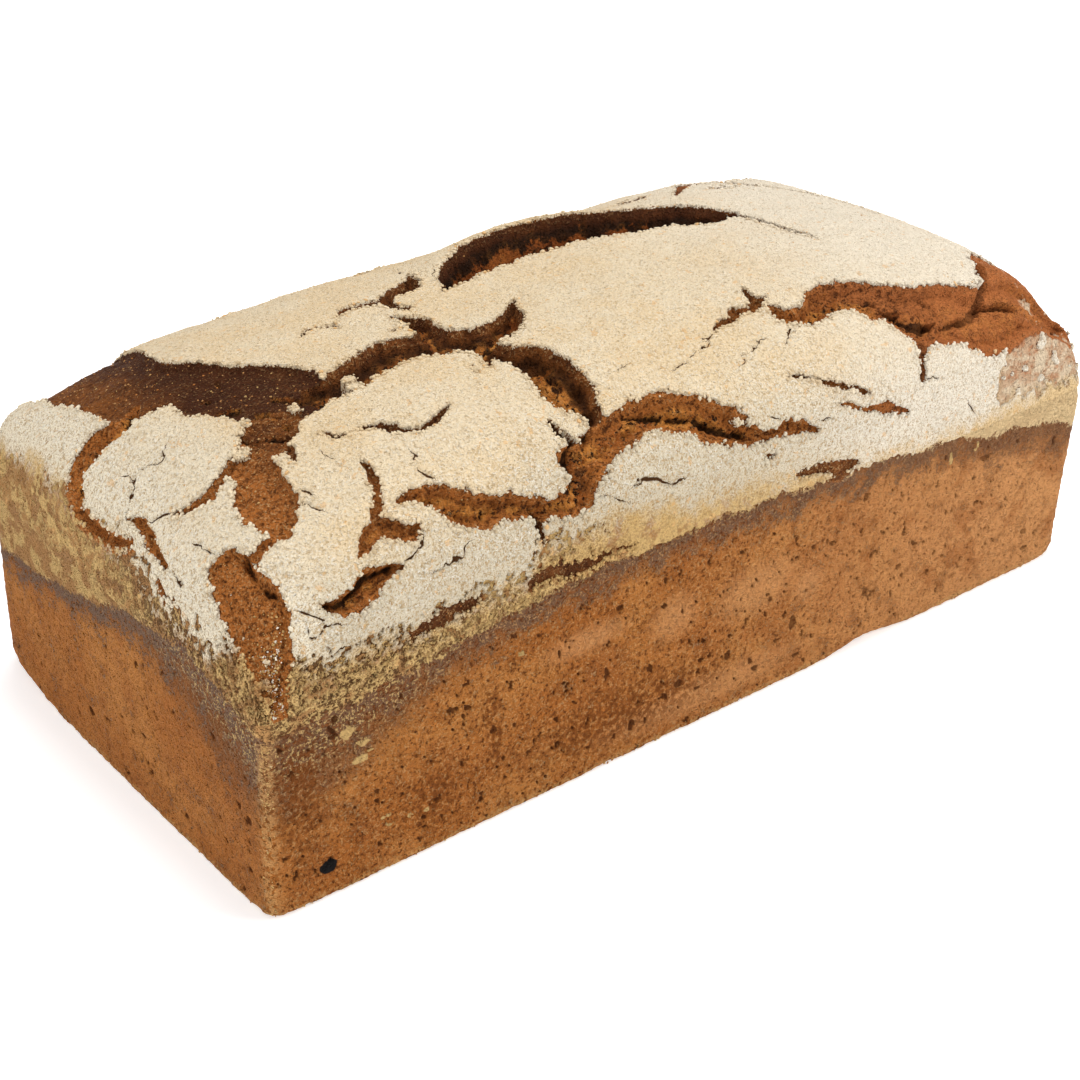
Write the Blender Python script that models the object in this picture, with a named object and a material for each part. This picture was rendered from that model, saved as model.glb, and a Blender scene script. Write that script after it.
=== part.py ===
"""Rye bread loaf baked in a tin: one solid with upright walls and a domed, cracked top crust.

The loaf lies along X, its front side faces -Y, and its flat base rests on z = 0.
Top crust positions are given in millimetres measured over the dome from its middle:
"along" toward +X and "across" toward +Y.
"""

import bpy
import numpy as np

MM = 0.001

# Overall form, in metres
LENGTH = 0.240
WIDTH = 0.1208
WALL_HEIGHT = 0.0483  # tin wall, up to where the dome springs
DOME_RISE = 0.0372
DOME_POWER_ALONG, DOME_BLUNT_ALONG = 5.36, 0.41
DOME_POWER_ACROSS, DOME_BLUNT_ACROSS = 2.90, 0.30
DOME_LEAN_ACROSS = -0.12  # the dome stands fuller over the front side
WALL_TAPER = 0.0003

# Upright corners of the tin, and the edge round the base
FRONT_LEFT_RADIUS = 0.0047
BACK_LEFT_RADIUS = 0.0190
RIGHT_RADIUS = 0.0066
BASE_EDGE_RADIUS = 0.0022
BASE_EDGE_DRAW = 0.0010  # how far the base lies inside the wall

# Unevenness
PLATE_SWELL = 0.0007  # how far the crust plates swell and sag
WALL_DENT = 0.0006  # how far the walls fall short of the tin
CHIP_MIDDLE = 0.051  # where the front base edge is broken away, along X
CHIP_HALF_LENGTH = 0.010
CHIP_RISE = 0.0040

# Mesh density
CELLS_ALONG = 84
CELLS_ACROSS = 48
WALL_LEVELS = (0.5,)  # heights of the wall rows, as parts of the wall
ARC_SAMPLES = 4001

CRUST_COLOUR = (0.30, 0.135, 0.055, 1.0)
CRUST_ROUGHNESS = 0.85

# Cracks of the top crust. Each has its depth in millimetres, then its middle line as
# (along, across, half width). Its sides slope over CRACK_SLOPE.
CRACK_SLOPE = 4.5
CRACKS = (
    ("left tear", 2.0, ((-99, 62, 9), (-98, 40, 9), (-94, 22, 11), (-85, 6, 10.5), (-79, -6, 9))),
    ("left branch", 1.8, ((-82, -14, 5), (-92, -19, 5), (-99, -27, 6), (-102, -38, 5))),
    ("corner tear", 2.0, ((-117, -40, 5.5), (-119, -52, 8.5), (-119, -64, 6), (-119, -78, 2))),
    ("left end crack", 2.6, ((-101, 17, 3), (-109, 16, 4), (-120, 14, 2.4), (-127, 6, 1.8))),
    ("middle crack", 5.0, ((-70, -12, 5), (-55, -8, 6), (-42, -9, 6), (-28, -12, 4.5), (-17, -5, 1))),
    ("middle spur", 3.5, ((-40, -8, 3), (-38, 0, 2.8), (-39, 7, 1.5))),
    ("middle drop", 5.0, ((-34, -18, 3.5), (-30, -30, 6), (-30, -41, 6), (-32, -50, 4.5))),
    ("front crack", 3.6, ((-38, -55, 4), (-25, -54, 4.5), (-12, -54, 4), (0, -61, 3.5), (20, -67, 1.5))),
    ("front left crack", 3.2, ((-79, -51, 1), (-69, -56, 4), (-57, -61, 2.6), (-44, -64, 3), (-36, -58, 3.5))),
    ("front lens", 2.4, ((-102, -62, 1.2), (-95, -64, 3), (-87, -63, 1.5))),
    ("small split", 1.8, ((-92, -56, 1), (-86, -54, 2.2), (-79, -57, 1.5))),
    ("back crack", 6.0, ((-20, 14, 1.5), (-10, 19, 4), (8, 24, 5.5), (28, 23, 6), (45, 19, 5.5), (59, 10, 3))),
    ("back left crack", 2.8, ((-47, 18, 1.2), (-36, 19, 2), (-26, 22, 3.4))),
    ("right crack", 3.6, ((30, -40, 2.5), (45, -41, 4), (60, -48, 6), (76, -55, 8), (96, -57, 6), (112, -56, 6))),
    ("right spur", 2.5, ((14, -37, 1), (24, -36, 1.6), (31, -37, 1.2))),
    ("right cleft", 2.6, ((62, -56, 1.8), (60, -67, 1.2))),
    ("back side crack", 2.8, ((-46, 66, 1), (-24, 61, 3), (4, 63, 4), (30, 59, 2))),
    ("back right crack", 2.8, ((66, 34, 1), (80, 42, 3), (98, 48, 4), (116, 54, 4))),
)


def domeArc(half, rise, power, blunt):
    """Arc length over a dome profile z = rise * (1 - t^power)^blunt, t from 0 at the crown to 1."""
    t = 1 - (1 - np.linspace(0, 1, ARC_SAMPLES)) ** 4
    z = rise * (1 - t**power) ** blunt
    steps = np.hypot(np.diff(half * t), np.diff(z))
    return t, np.concatenate([[0], np.cumsum(steps)])


def roundCorners(x, y, halfX, halfY):
    """Pulls the corners of the rectangle of half sizes halfX, halfY in to their radii."""
    left = np.where(y < 0, FRONT_LEFT_RADIUS, BACK_LEFT_RADIUS)
    radius = np.where(x < 0, left, RIGHT_RADIUS)
    u = np.clip((np.abs(x) - (halfX - radius)) / radius, 0, None)
    v = np.clip((np.abs(y) - (halfY - radius)) / radius, 0, None)
    reach = np.maximum(np.hypot(u, v), 1e-9)
    k = np.maximum(u, v) / reach
    roundX = np.sign(x) * (halfX - radius + radius * u * k)
    roundY = np.sign(y) * (halfY - radius + radius * v * k)
    return np.where(u > 0, roundX, x), np.where(v > 0, roundY, y)


def domePoints(u, v):
    """Points of the unbroken dome for u, v from -1 to 1 over the length and the width."""
    x, y = roundCorners(u * LENGTH / 2, v * WIDTH / 2, LENGTH / 2, WIDTH / 2)
    overLength = np.clip(1 - np.abs(u) ** DOME_POWER_ALONG, 0, None) ** DOME_BLUNT_ALONG
    overWidth = np.clip(1 - np.abs(v) ** DOME_POWER_ACROSS, 0, None) ** DOME_BLUNT_ACROSS
    z = WALL_HEIGHT + DOME_RISE * overLength * overWidth * (1 + DOME_LEAN_ACROSS * v)
    return np.stack([x, y, z], axis=-1)


def surfaceNormals(points):
    """Unit normals of a grid of points, from the directions of its rows and columns."""
    normals = np.cross(np.gradient(points, axis=0), np.gradient(points, axis=1))
    return normals / np.maximum(np.linalg.norm(normals, axis=-1, keepdims=True), 1e-12)


def crackDepth(along, across):
    """Depth of the crust below the unbroken dome, in metres, the deepest of all the cracks."""
    depth = np.zeros_like(along)
    for _, deepest, line in CRACKS:
        for start, end in zip(line[:-1], line[1:]):
            dx, dy = end[0] - start[0], end[1] - start[1]
            t = np.clip(((along - start[0]) * dx + (across - start[1]) * dy) / (dx * dx + dy * dy), 0, 1)
            away = np.hypot(along - start[0] - t * dx, across - start[1] - t * dy)
            inside = (start[2] + t * (end[2] - start[2]) - away) / CRACK_SLOPE
            fall = np.clip(inside + 0.35, 0, 1)
            depth = np.maximum(depth, deepest * MM * fall * fall * (3 - 2 * fall))
    return depth


def plateSwell(along, across):
    """Gentle swelling of the crust plates, as crossing waves."""
    waves = np.sin(along / 11 + 0.8) * np.cos(across / 9 - 0.4) + np.sin(along / 23 - across / 17)
    return PLATE_SWELL * waves / 2


def topCrust():
    """The dome as a grid even in arc length, with the cracks sunk in along its normals."""
    tAlong, arcAlong = domeArc(LENGTH / 2, DOME_RISE, DOME_POWER_ALONG, DOME_BLUNT_ALONG)
    tAcross, arcAcross = domeArc(WIDTH / 2, DOME_RISE, DOME_POWER_ACROSS, DOME_BLUNT_ACROSS)
    along = np.linspace(-arcAlong[-1], arcAlong[-1], CELLS_ALONG + 1)
    across = np.linspace(-arcAcross[-1], arcAcross[-1], CELLS_ACROSS + 1)
    u = np.sign(along) * np.interp(np.abs(along), arcAlong, tAlong)
    v = np.sign(across) * np.interp(np.abs(across), arcAcross, tAcross)
    gridU, gridV = np.meshgrid(u, v, indexing="ij")
    gridAlong, gridAcross = np.meshgrid(along / MM, across / MM, indexing="ij")
    points = domePoints(gridU, gridV)
    offset = plateSwell(gridAlong, gridAcross) - crackDepth(gridAlong, gridAcross)
    # The rim of the grid stays on the tin wall.
    rim = np.minimum(1 - np.abs(gridU), 1 - np.abs(gridV))
    offset *= np.clip(rim / 0.012, 0, 1)
    return points + surfaceNormals(points) * offset[..., None]


def rimOrder():
    """Grid indices of the rim of the top crust, counterclockwise from its front left corner."""
    n, m = CELLS_ALONG, CELLS_ACROSS
    front = [(i, 0) for i in range(n)]
    right = [(n, j) for j in range(m)]
    back = [(i, m) for i in range(n, 0, -1)]
    left = [(0, j) for j in range(m, 0, -1)]
    return np.array(front + right + back + left)


def wallRow(rim, height):
    """One row of the wall: the rim at this height, drawn in by the taper, the dents and the base edge."""
    x, y = rim[:, 0], rim[:, 1]
    edge = BASE_EDGE_DRAW * max(1 - height / BASE_EDGE_RADIUS, 0)
    taper = WALL_TAPER * (1 - height / WALL_HEIGHT)
    body = np.sin(np.pi * np.clip(height / WALL_HEIGHT, 0, 1))
    dent = WALL_DENT * body * (0.5 + 0.5 * np.sin(x / 0.017 + y / 0.013 + height / 0.009))
    draw = edge + taper + dent
    rowX = x * (1 - draw / (LENGTH / 2))
    rowY = y * (1 - draw / (WIDTH / 2))
    # The front base edge is broken away over a short run.
    chip = np.clip(1 - np.abs(x - CHIP_MIDDLE) / CHIP_HALF_LENGTH, 0, 1) * (y < -0.45 * WIDTH)
    lift = CHIP_RISE * chip * np.clip(1 - height / (3 * CHIP_RISE), 0, 1)
    rowY = rowY + lift * 0.6
    return np.stack([rowX, rowY, np.full_like(x, height) + lift * (height > 0)], axis=1)


def loafMesh():
    """Vertices and faces of the closed loaf: the crust grid, the wall rows below it and the base."""
    top = topCrust()
    columns = CELLS_ACROSS + 1
    order = rimOrder()
    ring = order[:, 0] * columns + order[:, 1]
    rim = top[order[:, 0], order[:, 1]]
    heights = [WALL_HEIGHT * level for level in WALL_LEVELS] + [BASE_EDGE_RADIUS, 0.0]
    rows = [wallRow(rim, height) for height in heights]
    vertices = np.concatenate([top.reshape(-1, 3)] + rows)

    faces = []
    for i in range(CELLS_ALONG):
        for j in range(CELLS_ACROSS):
            corner = i * columns + j
            faces.append((corner, corner + columns, corner + columns + 1, corner + 1))
    upper = ring
    firstOfRow = top.shape[0] * top.shape[1]
    for _ in rows:
        lower = firstOfRow + np.arange(len(ring))
        for a, b, c, d in zip(lower, np.roll(lower, -1), np.roll(upper, -1), upper):
            faces.append((int(a), int(b), int(c), int(d)))
        upper = lower
        firstOfRow += len(ring)
    faces.append(tuple(int(k) for k in upper[::-1]))
    return vertices, faces


def crustMaterial():
    material = bpy.data.materials.new("ryeCrust")
    material.use_nodes = True
    shader = material.node_tree.nodes["Principled BSDF"]
    shader.inputs["Base Color"].default_value = CRUST_COLOUR
    shader.inputs["Roughness"].default_value = CRUST_ROUGHNESS
    shader.inputs["Metallic"].default_value = 0.0
    return material


def build():
    for leftover in list(bpy.data.objects):
        bpy.data.objects.remove(leftover)
    vertices, faces = loafMesh()
    # The loaf is centred on its own box and rests on the floor.
    low, high = vertices.min(axis=0), vertices.max(axis=0)
    vertices -= np.array([(low[0] + high[0]) / 2, (low[1] + high[1]) / 2, low[2]])
    mesh = bpy.data.meshes.new("loaf")
    mesh.from_pydata(vertices.tolist(), [], faces)
    for face in mesh.polygons[:-1]:
        face.use_smooth = True
    mesh.materials.append(crustMaterial())
    loaf = bpy.data.objects.new("loaf", mesh)
    bpy.context.scene.collection.objects.link(loaf)


build()
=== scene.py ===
import math
import bpy
import numpy as np
from mathutils import Matrix, Vector


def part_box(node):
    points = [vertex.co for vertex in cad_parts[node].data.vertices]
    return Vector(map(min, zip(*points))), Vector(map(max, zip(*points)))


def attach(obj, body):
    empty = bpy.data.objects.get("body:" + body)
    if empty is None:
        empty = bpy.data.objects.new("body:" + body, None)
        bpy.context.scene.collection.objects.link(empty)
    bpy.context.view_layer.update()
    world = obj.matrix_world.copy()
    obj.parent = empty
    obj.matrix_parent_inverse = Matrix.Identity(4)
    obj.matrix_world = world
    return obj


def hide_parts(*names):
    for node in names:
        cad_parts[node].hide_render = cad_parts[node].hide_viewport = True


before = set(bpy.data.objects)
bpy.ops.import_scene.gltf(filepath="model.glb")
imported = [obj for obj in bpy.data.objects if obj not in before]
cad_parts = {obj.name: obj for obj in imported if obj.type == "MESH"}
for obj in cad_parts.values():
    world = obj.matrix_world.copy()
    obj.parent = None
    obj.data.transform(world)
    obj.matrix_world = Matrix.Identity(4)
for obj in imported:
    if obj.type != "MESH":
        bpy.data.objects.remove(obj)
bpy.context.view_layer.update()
boxLow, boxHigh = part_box("loaf")

# The loaf's form, in millimetres. x runs along the loaf, y across it with the front side at -y.
# Places on the top are given as p and q, measured over the dome from its middle along x and y.
mm = 0.001
loaf = {
    "length": (boxHigh[0] - boxLow[0]) / mm,
    "width": (boxHigh[1] - boxLow[1]) / mm,
    "wallHeight": 48.3,  # tin wall, up to where the dome springs
    "domeRise": 37.2,
    "domeAlong": (5.36, 0.41),  # power and bluntness of the dome over the length
    "domeAcross": (2.90, 0.30),
    "lean": -0.12,  # the dome stands fuller over the front side
    "cornerRadii": {"frontLeft": 3.2, "backLeft": 15.0, "right": 6.6},
    "coat": 0.8,  # thickness of the flour coat where it is whole
    "topCells": (572, 342),
    "flourCells": (760, 456),
}


def gradientNoise(x, y, seed):
    # Smooth noise near -1..1: slopes set at random on whole-number corners, blended by the quintic step.
    angle = np.random.default_rng(seed).uniform(0, 2 * np.pi, (256, 256))
    i, j = np.floor(x).astype(int), np.floor(y).astype(int)
    u, v = x - i, y - j

    def corner(di, dj):
        a = angle[(i + di) % 256, (j + dj) % 256]
        return np.cos(a) * (u - di) + np.sin(a) * (v - dj)

    su, sv = u**3 * (u * (6 * u - 15) + 10), v**3 * (v * (6 * v - 15) + 10)
    low = corner(0, 0) * (1 - su) + corner(1, 0) * su
    high = corner(0, 1) * (1 - su) + corner(1, 1) * su
    return 1.5 * (low * (1 - sv) + high * sv)


def layeredNoise(x, y, size, seed, layers=3, fade=0.5):
    # Sum of noises, each half the size of the last and "fade" times as strong.
    total = np.zeros_like(x)
    for layer in range(layers):
        scale = 2.0**layer / size
        total += fade**layer * gradientNoise(x * scale, y * scale, seed + layer)
    return total


def cellPits(x, y, cell, chance, smallest, largest, seed):
    # Round pits scattered one to a cell: the deepest of 1 - distance / radius over the nine cells round a place.
    rng = np.random.default_rng(seed)
    offsets = rng.uniform(0, 1, (128, 128, 2))
    radii = smallest + (largest - smallest) * rng.uniform(0, 1, (128, 128)) ** 2.5
    radii[rng.uniform(0, 1, (128, 128)) > chance] = 1e-6
    i, j = np.floor(x / cell).astype(int), np.floor(y / cell).astype(int)
    pit = np.zeros_like(x)
    for di in (-1, 0, 1):
        for dj in (-1, 0, 1):
            a, b = (i + di) % 128, (j + dj) % 128
            dx = x - (i + di + offsets[a, b, 0]) * cell
            dy = y - (j + dj + offsets[a, b, 1]) * cell
            pit = np.maximum(pit, 1 - np.hypot(dx, dy * 0.75) / radii[a, b])
    return pit


def grainField(x, y, cell, seed):
    # Rounded grains packed one to a cell: the highest of 1 - (distance / 0.8 cell)^2 over the nine cells round a place.
    offsets = np.random.default_rng(seed).uniform(0.1, 0.9, (128, 128, 2))
    i, j = np.floor(x / cell).astype(int), np.floor(y / cell).astype(int)
    top = np.zeros_like(x)
    for di in (-1, 0, 1):
        for dj in (-1, 0, 1):
            a, b = (i + di) % 128, (j + dj) % 128
            dx = x / cell - (i + di + offsets[a, b, 0])
            dy = y / cell - (j + dj + offsets[a, b, 1])
            top = np.maximum(top, 1 - (dx * dx + dy * dy) / 0.64)
    return top


def softStep(x, low, high):
    t = np.clip((x - low) / (high - low), 0, 1)
    return t * t * (3 - 2 * t)


def domeArc(half, shape):
    # Arc length over the profile z = rise * (1 - t^power)^blunt, t from 0 at the crown to 1 at the wall.
    power, blunt = shape
    t = 1 - (1 - np.linspace(0, 1, 4001)) ** 4
    z = loaf["domeRise"] * (1 - t**power) ** blunt
    return t, np.concatenate([[0], np.cumsum(np.hypot(np.diff(half * t), np.diff(z)))])


arcAlong = domeArc(loaf["length"] / 2, loaf["domeAlong"])
arcAcross = domeArc(loaf["width"] / 2, loaf["domeAcross"])
reachAlong, reachAcross = arcAlong[1][-1], arcAcross[1][-1]


def roundCorners(x, y):
    # Square outline pulled in to the corner radii: outside a corner's centre, direction kept, reach made the radius.
    radii = loaf["cornerRadii"]
    radius = np.where(x < 0, np.where(y < 0, radii["frontLeft"], radii["backLeft"]), radii["right"])
    halfX, halfY = loaf["length"] / 2, loaf["width"] / 2
    u = np.clip((np.abs(x) - (halfX - radius)) / radius, 0, None)
    v = np.clip((np.abs(y) - (halfY - radius)) / radius, 0, None)
    k = np.maximum(u, v) / np.maximum(np.hypot(u, v), 1e-9)
    roundX = np.sign(x) * (halfX - radius + radius * u * k)
    roundY = np.sign(y) * (halfY - radius + radius * v * k)
    return np.where(u > 0, roundX, x), np.where(v > 0, roundY, y)


def domeSurface(p, q):
    # Height over the floor: wall + rise * (1 - |u|^a)^b * (1 - |v|^c)^d * (1 + lean * v), u and v from the arc lengths.
    u = np.sign(p) * np.interp(np.abs(p), arcAlong[1], arcAlong[0])
    v = np.sign(q) * np.interp(np.abs(q), arcAcross[1], arcAcross[0])
    x, y = roundCorners(u * loaf["length"] / 2, v * loaf["width"] / 2)
    powerU, bluntU = loaf["domeAlong"]
    powerV, bluntV = loaf["domeAcross"]
    overU = np.clip(1 - np.abs(u) ** powerU, 0, None) ** bluntU
    overV = np.clip(1 - np.abs(v) ** powerV, 0, None) ** bluntV
    z = loaf["wallHeight"] + loaf["domeRise"] * overU * overV * (1 + loaf["lean"] * v)
    return np.stack([x, y, z], axis=-1)


def gridNormals(points):
    normals = np.cross(np.gradient(points, axis=0), np.gradient(points, axis=1))
    return normals / np.maximum(np.linalg.norm(normals, axis=-1, keepdims=True), 1e-12)


# Every crack: how far it sinks below the bare crust, the run of its walls, its tone from 0, smooth and dark,
# to 1, torn and light, and its middle line as (p, q, half width).
cracks = {
    "leftTear": (0.9, 1.6, 0.12, [(-97, 76, 12), (-96.8, 52, 12), (-97.2, 38, 11.2), (-97.5, 28, 9.8), (-96, 21, 11),
                                 (-89.3, 14, 8.3), (-87.1, 8.2, 9.9), (-82.8, 0.2, 11.2), (-79.2, -6, 10.7), (-78.8, -11, 7.2)]),
    "leftBranch": (0.9, 1.4, 0.45, [(-84, -13, 6), (-90, -18, 5.5), (-95, -22, 5.2), (-99, -27, 5.0),
                                    (-101, -33, 6), (-101.7, -38, 5.4), (-103.3, -43, 1.8)]),
    "branchNeck": (0.8, 1.0, 0.6, [(-104, -42.2, 1.2), (-110.5, -42.5, 1.3)]),
    "cornerFoot": (0.8, 1.2, 0.35, [(-121, -53, 2.5), (-123.5, -58, 4), (-124.5, -64, 4.6), (-124.5, -71, 4.2),
                                    (-123.5, -77, 3), (-122, -84, 1.4)]),
    "cornerTear": (1.0, 1.4, 0.8, [(-116.5, -39.5, 5), (-117.5, -44, 6.5), (-118.5, -50, 8), (-119.5, -57, 8.8),
                                   (-119.5, -64, 6.2), (-119.5, -72, 3), (-119.5, -82, 1.5)]),
    "leftEndCrack": (1.7, 1.4, 0.6, [(-101, 17.5, 2.5), (-106, 15.5, 3.2), (-110, 16.5, 3.2), (-115, 17.2, 3.2),
                                     (-119, 16.6, 2.6), (-123, 14.4, 2.2), (-127, 10.5, 1.7), (-128, 5, 1.3),
                                     (-128, 0, 1.5), (-127, -5, 1.3), (-125.5, -9, 1)]),
    "leftSideSplit": (0.9, 1.0, 0.7, [(-121.5, -5, 0.5), (-120.5, -9, 1), (-122, -14, 1.6), (-123.5, -18, 1.4),
                                      (-124.5, -22, 0.5)]),
    "leftSideNick": (0.8, 0.8, 0.6, [(-128, -21, 0.4), (-130, -24, 0.8), (-129, -28, 0.3)]),
    "leftPlateSplit": (1.4, 1.0, 0.4, [(-114.5, -18, 0.5), (-111, -21, 1.3), (-107, -22, 1.5),
                                       (-103, -20.5, 1.3), (-98, -18.5, 1.2), (-93, -17, 2)]),
    "plateNotch": (0.9, 0.8, 0.4, [(-89.5, -24.5, 0.9), (-90.8, -29, 0.5)]),
    "middleCrack": (4.0, 2.2, 0.35, [(-73, -12, 5.5), (-68, -12.5, 5), (-62, -10, 5.2), (-56, -8.5, 5.8),
                                     (-50, -7, 6), (-45, -8.8, 6.2), (-40, -10, 6.2), (-35, -12.5, 6),
                                     (-29, -13.2, 4.3), (-24, -11.3, 3.6), (-20, -8, 2.4), (-17.5, -4.7, 0.9),
                                     (-14.5, -1.5, 0.3)]),
    "middleSpur": (2.4, 1.6, 0.3, [(-40.3, 9, 0.5), (-38.8, 6.5, 1.6), (-38, 3, 2.6), (-38.8, -1, 3),
                                   (-40, -6, 3.2)]),
    "spurTwig": (0.9, 0.7, 0.3, [(-45, 2.2, 0.4), (-42.5, 2.5, 0.5), (-40, 1.5, 0.6)]),
    "middleDrop": (4.4, 2.2, 0.4, [(-35.5, -17, 4), (-33.5, -22, 3.4), (-30.5, -27, 5.4), (-29.8, -33, 6),
                                   (-30.2, -39, 6.3), (-31, -44, 5.4), (-31, -48, 3.6)]),
    "dropLobe": (1.2, 0.8, 0.4, [(-38, -22, 1.2), (-39.3, -25, 0.6)]),
    "dropPit": (2.2, 1.0, 0.2, [(-40, -47, 0.5), (-39.7, -50, 1.3), (-38, -52.5, 1.2)]),
    "frontCrack": (1.9, 1.8, 0.95, [(-40, -56, 3), (-36, -56.5, 3.8), (-30, -54.8, 4.3), (-24, -53.8, 4),
                                   (-18, -52.4, 4), (-12, -54, 4.8), (-7, -56, 4.9), (-2, -59.2, 4.5),
                                   (3, -62.2, 3.8), (7, -64.8, 2.2), (11, -65.7, 0.8), (16, -66, 1.5),
                                   (20, -66.5, 1.6), (23, -67.7, 0.9), (25.5, -68.7, 0.3)]),
    "frontLeftCrack": (2.0, 1.5, 0.8, [(-80, -50.7, 0.5), (-76, -51, 1.7), (-72, -53, 2.8), (-68.5, -56.5, 4),
                                       (-64, -59, 3.4), (-59, -60, 2.8), (-54, -62, 2.2), (-49, -63.6, 2.3),
                                       (-44, -64.4, 3), (-40, -63, 3.8), (-37, -60, 3.5)]),
    "frontJunction": (2.2, 1.5, 0.7, [(-42, -55, 0.6), (-40, -58.5, 3), (-39, -62, 3.5)]),
    "cleft": (2.2, 0.8, 0.3, [(-51.8, -62.5, 0.9), (-52, -66, 0.9), (-51.5, -68.5, 0.5)]),
    "frontLens": (1.8, 1.4, 0.85, [(-104, -61, 0.4), (-101.5, -62.8, 1.2), (-98.5, -63.8, 2.6),
                                   (-95, -63.7, 3.2), (-91, -62.7, 2.7), (-87.5, -62.4, 1.2), (-84.5, -63, 0.5)]),
    "smallSplit": (1.5, 1.1, 0.7, [(-92.5, -57, 0.5), (-89.5, -54.8, 1.8), (-86, -53.6, 2.2), (-83, -56, 2),
                                   (-80.5, -57.5, 1.6), (-78.5, -57, 0.6)]),
    "splitStem": (0.8, 0.8, 0.6, [(-86, -51.5, 1), (-83.5, -48.5, 0.9), (-82, -45, 0.9), (-81, -42, 0.9),
                                  (-80.8, -38.5, 0.4)]),
    "nearSplit": (1.0, 0.8, 0.3, [(-76, -29.7, 0.3), (-73.5, -30.8, 1), (-71.3, -33, 1.2), (-69.3, -35.5, 0.9),
                                  (-66, -37.3, 0.6), (-62.5, -36.8, 0.8), (-58, -34.7, 0.5), (-55.5, -33.2, 0.3)]),
    "nearNick": (1.0, 0.7, 0.3, [(-81.7, -26.5, 0.9), (-80.8, -29, 0.8), (-79, -30.2, 0.3)]),
    "dropNick": (0.8, 0.6, 0.3, [(-42.5, -22.8, 0.3), (-43.3, -25, 0.5), (-42.5, -26.8, 0.3)]),
    "backCrack": (8.0, 3.6, 0.15, [(-22, 14.5, 0.6), (-18, 17, 2.8), (-12, 20.5, 5), (-5, 23, 6.3), (4, 25, 6.5),
                                  (14, 24.5, 6.8), (24, 23.5, 6.8), (33, 20, 6.8), (41, 18, 6.5), (48, 15, 6.3),
                                  (54, 11.4, 5.8), (58.5, 8.8, 3.5), (61.5, 5, 1.2), (62.5, -1, 0.9), (63, -8, 0.8),
                                  (63.3, -14, 0.8), (63.2, -18, 0.4)]),
    "farSplit": (1.6, 1.0, 0.3, [(44, 36, 0.5), (48, 36, 1.7), (54, 37, 1.9), (59, 38.5, 0.6)]),
    "farNick": (1.2, 1.0, 0.3, [(73, 31, 0.9), (78, 30.5, 2.0), (83, 30, 0.8)]),
    "backLeftCrack": (2.2, 1.4, 0.3, [(-49, 17, 0.5), (-45.5, 19.5, 1.3), (-41.5, 19.6, 1.2), (-37, 18.8, 1.6),
                                      (-33, 20.5, 1.8), (-28.5, 21.5, 3), (-25, 23.5, 2.6), (-22.5, 27, 0.6)]),
    "backLeftTwig": (1.8, 1.0, 0.3, [(-36, 18, 1.6), (-36.3, 14, 1.5), (-35, 11, 1.3)]),
    "backTwig": (0.8, 0.7, 0.3, [(-61, 14, 0.3), (-57, 15.5, 0.7), (-53, 14, 0.5), (-51.8, 11.5, 0.2)]),
    "rightCrack": (2.6, 2.0, 0.9, [(30.3, -37.5, 1.1), (31, -41, 2.6), (34.5, -42.8, 3), (39, -42.6, 3.4),
                                   (44, -40.7, 4.6), (49, -40.6, 5.4), (54, -43.6, 6), (59, -47.5, 6.6),
                                   (65, -51.6, 7.8), (71, -53.4, 8.2), (78, -54.8, 8.4), (86, -58, 8.5),
                                   (93, -56, 8.4), (100, -54.5, 7.6), (108, -57, 6.5), (117, -60, 5)]),
    "rightLump": (0.9, 1.4, 0.95, [(93.5, -47, 3), (98, -45, 7), (104, -44, 9.5), (111, -46, 10), (119, -48, 9)]),
    "rightSpur": (1.5, 1.1, 0.5, [(12.5, -38.3, 0.4), (15.5, -37, 1.1), (19, -37, 0.9), (22, -35.3, 1.7),
                                  (25, -36.2, 1.3), (28.5, -34.6, 1.7), (31.5, -34, 0.4)]),
    "spurTip": (0.9, 0.7, 0.3, [(28, -33.5, 0.8), (29.2, -29.5, 0.4)]),
    "rightCleft": (1.7, 1.0, 0.5, [(63, -56.5, 1.9), (61.8, -60, 1.5), (60.7, -63.5, 1.1), (59.7, -67.5, 0.6)]),
    "frontSplit": (0.7, 0.6, 0.4, [(21, -56, 0.2), (25, -57, 0.3), (28.5, -58.8, 0.4), (31, -60.2, 0.7),
                                   (34, -61.5, 0.6), (38, -63, 0.4), (40, -64.5, 0.5), (43, -65.3, 0.2)]),
    "frontFlake": (0.4, 0.6, 0.9, [(32.5, -65, 0.3), (36, -66.3, 0.5), (39.5, -68, 0.4), (42, -68.8, 0.8),
                                   (45.5, -69.3, 1.1), (49, -70.2, 1.2), (52, -71.4, 0.9), (55, -72.6, 0.3)]),
    "frontDot": (0.5, 0.6, 0.6, [(10.5, -70.3, 0.7), (12.5, -70.3, 0.5)]),
    "lowerLensLeft": (0.2, 0.8, 0.3, [(-84, -77.2, 0.6), (-80, -76.2, 1.2), (-75, -76, 1.4), (-69, -76, 0.9)]),
    "lowerLensMiddle": (0.2, 0.8, 0.3, [(-55, -77, 0.6), (-51, -76.4, 1.3), (-45, -77.2, 1.4), (-39, -78, 0.9),
                                        (-33, -77.2, 0.4), (-27, -77.8, 0.3)]),
    "lowerLensRight": (0.2, 0.8, 0.4, [(20, -77, 0.6), (27, -77.6, 1.3), (33, -79, 1.6), (38.5, -79.5, 0.6)]),
    "backSideCrack": (2.6, 1.8, 0.5, [(-56, 60, 0.5), (-44, 65, 2.2), (-28, 62, 3.4), (-12, 61, 4), (4, 64, 4.4),
                                      (18, 62, 3.2), (30, 58, 1.5), (38, 55, 0.4)]),
    "backSideBranch": (1.8, 1.2, 0.6, [(-10, 62, 2), (-14, 53, 1.8), (-22, 46, 1.2), (-27, 42, 0.3)]),
    "backRightCrack": (2.6, 1.8, 0.6, [(62, 30, 0.4), (70, 37, 2), (80, 42, 3.4), (92, 45, 4), (104, 50, 4),
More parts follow.
